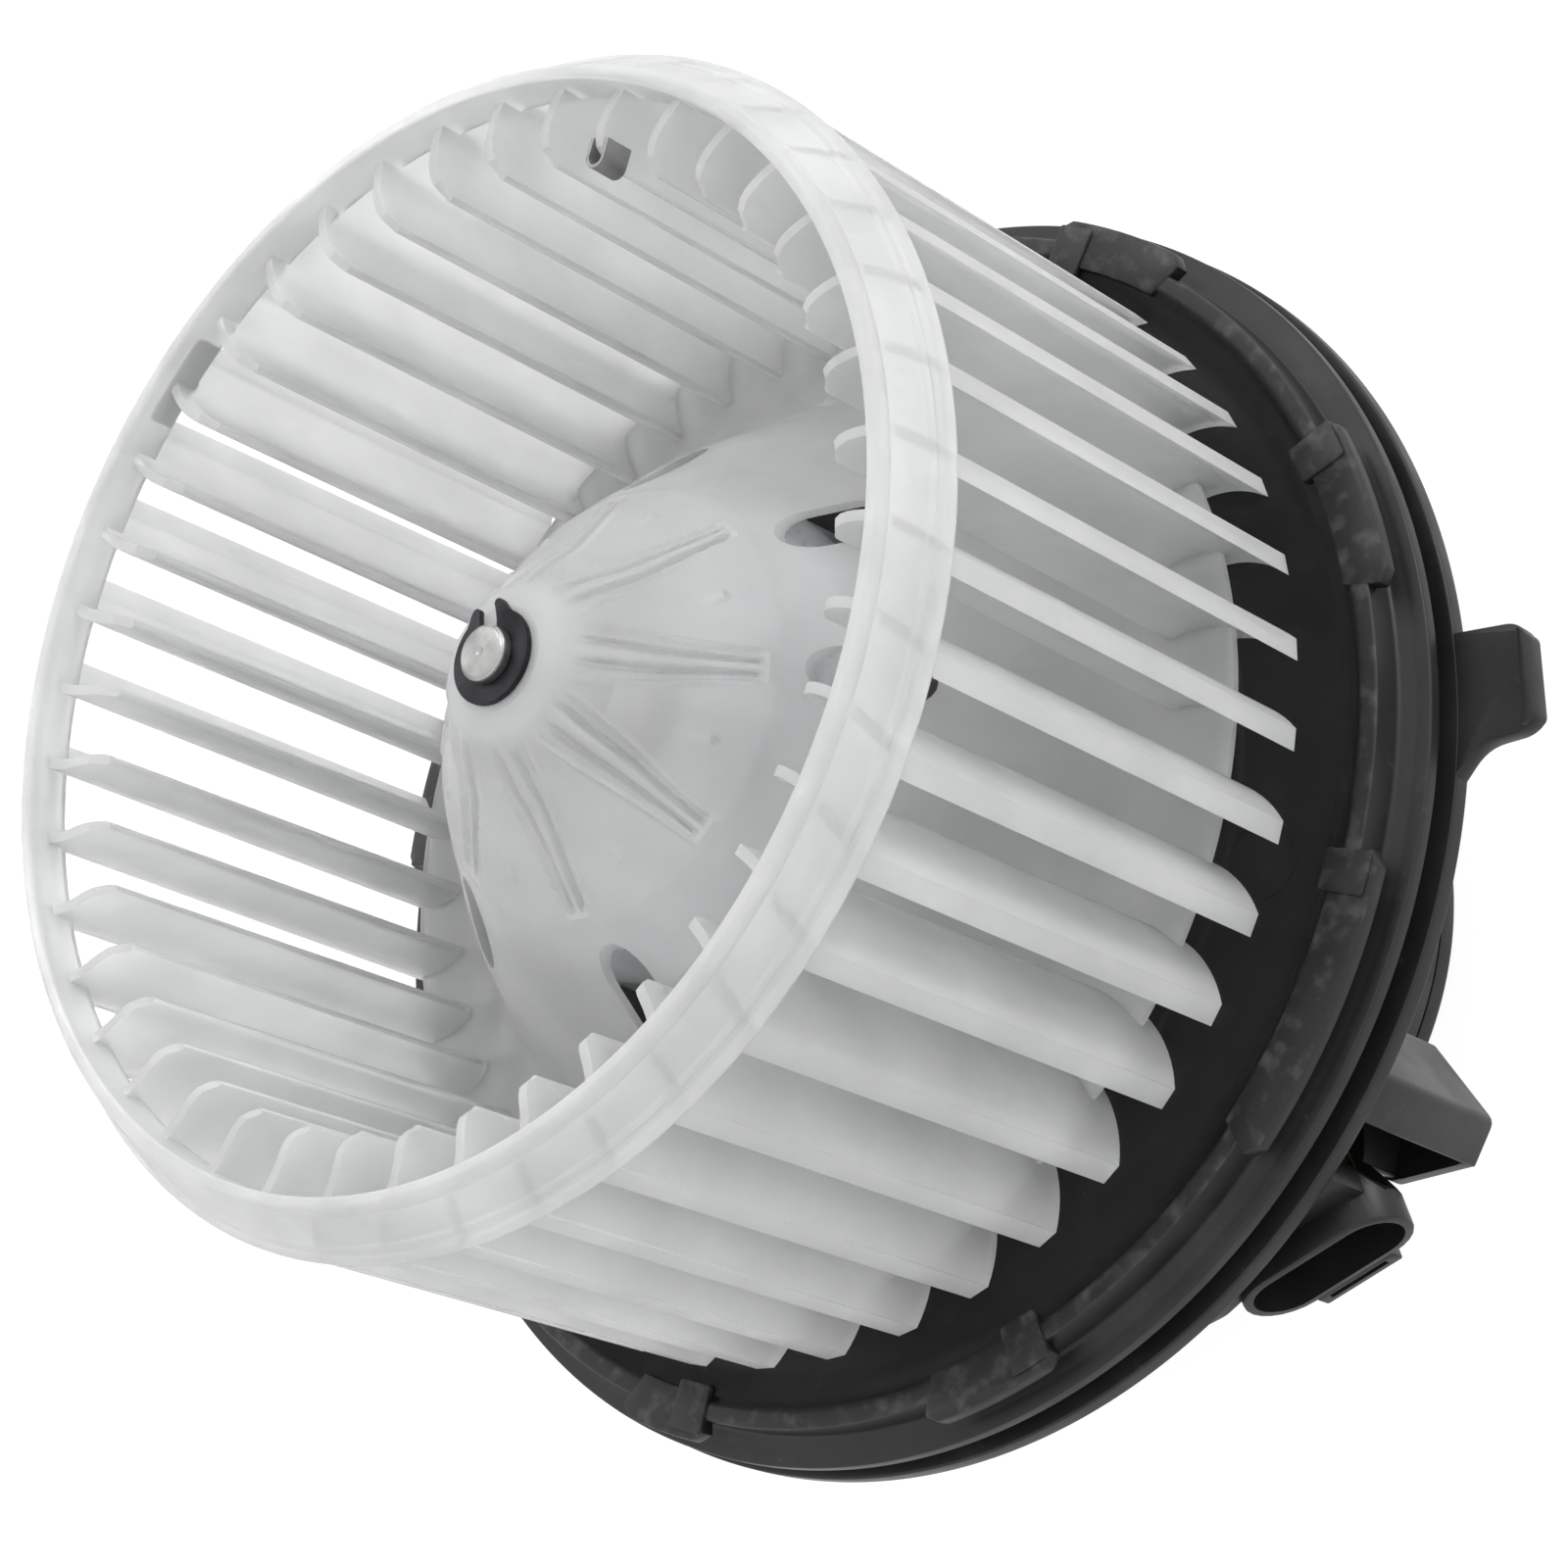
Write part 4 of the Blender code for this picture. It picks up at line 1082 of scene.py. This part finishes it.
# ---------------------------------------------------------------- stage
def make_floor():
    """Pale floor just below the rear cover, in metres."""
    side, level = 12.0, -0.0006
    mesh = bpy.data.meshes.new("floor")
    corners = [(x * side, y * side, level) for x, y in ((-1, -1), (1, -1), (1, 1), (-1, 1))]
    mesh.from_pydata(corners, [], [(0, 1, 2, 3)])
    floor = bpy.data.objects.new("floor", mesh)
    bpy.context.scene.collection.objects.link(floor)
    paint = bpy.data.materials.new("floor")
    paint.use_nodes = True
    shader = paint.node_tree.nodes["Principled BSDF"]
    shader.inputs["Base Color"].default_value = (0.22, 0.22, 0.22, 1.0)
    shader.inputs["Roughness"].default_value = 0.9
    shader.inputs["Specular IOR Level"].default_value = 0.0
    shader.inputs["Emission Color"].default_value = (1.0, 1.0, 1.0, 1.0)
    shader.inputs["Emission Strength"].default_value = 0.86
    mesh.materials.append(paint)
    floor.visible_glossy = False
    floor.visible_diffuse = False


def add_light(name, place, target, size, power):
    """Round soft light turned towards the target, in metres and watts."""
    data = bpy.data.lights.new(name, "AREA")
    data.shape = "DISK"
    data.size = size
    data.energy = power
    light = bpy.data.objects.new(name, data)
    bpy.context.scene.collection.objects.link(light)
    light.location = place
    light.rotation_euler = (Vector(target) - Vector(place)).to_track_quat("-Z", "Y").to_euler()


def set_stage():
    """Floor, a white world that is brighter towards the top, and two soft lights."""
    make_floor()
    world = bpy.data.worlds.new("studio")
    world.use_nodes = True
    tree = world.node_tree
    place = tree.nodes.new("ShaderNodeTexCoord")
    lean = tree.nodes.new("ShaderNodeVectorMath")
    lean.operation = "DOT_PRODUCT"
    lean.inputs[1].default_value = (0.15, 0.38, 0.91)
    rise = tree.nodes.new("ShaderNodeMapRange")
    limits = {"From Min": -0.35, "From Max": 1.0, "To Min": 1.02, "To Max": 1.62}
    for key, number in limits.items():
        rise.inputs[key].default_value = number
    tree.links.new(place.outputs["Generated"], lean.inputs[0])
    tree.links.new(lean.outputs["Value"], rise.inputs["Value"])
    tree.links.new(rise.outputs["Result"], tree.nodes["Background"].inputs["Strength"])
    tree.nodes["Background"].inputs["Color"].default_value = (1.0, 1.0, 1.0, 1.0)
    scene = bpy.context.scene
    scene.world = world
    scene.view_settings.view_transform = "Standard"
    middle = (0.0, 0.0, 0.09)
    add_light("key", (-0.25, 0.65, 0.85), middle, 0.5, 1.2)
    add_light("side", (0.60, 0.75, 0.35), middle, 0.4, 4.0)


def set_camera():
    """Camera on the wheel's inlet side, rolled so that the shaft runs up to the left."""
    data = bpy.data.cameras.new("camera")
    data.lens = 96.15
    data.sensor_width = 36.0
    data.clip_start = 0.01
    data.clip_end = 50.0
    camera = bpy.data.objects.new("camera", data)
    bpy.context.scene.collection.objects.link(camera)
    inlet = Vector((0.0, 0.0, INLET_Z * MM))
    camera_from_inlet = Vector((0.35166, -0.10858, 0.30364))
    right = Vector((0.73778, 0.19071, -0.64754))
    down = Vector((0.0, -0.95926, -0.28252))
    forward = Vector((-0.67504, 0.20844, -0.70772))
    turn = Matrix((right, -down, -forward)).transposed().to_4x4()
    camera.matrix_world = Matrix.Translation(inlet + camera_from_inlet) @ turn
    bpy.context.scene.camera = camera


set_stage()
set_camera()
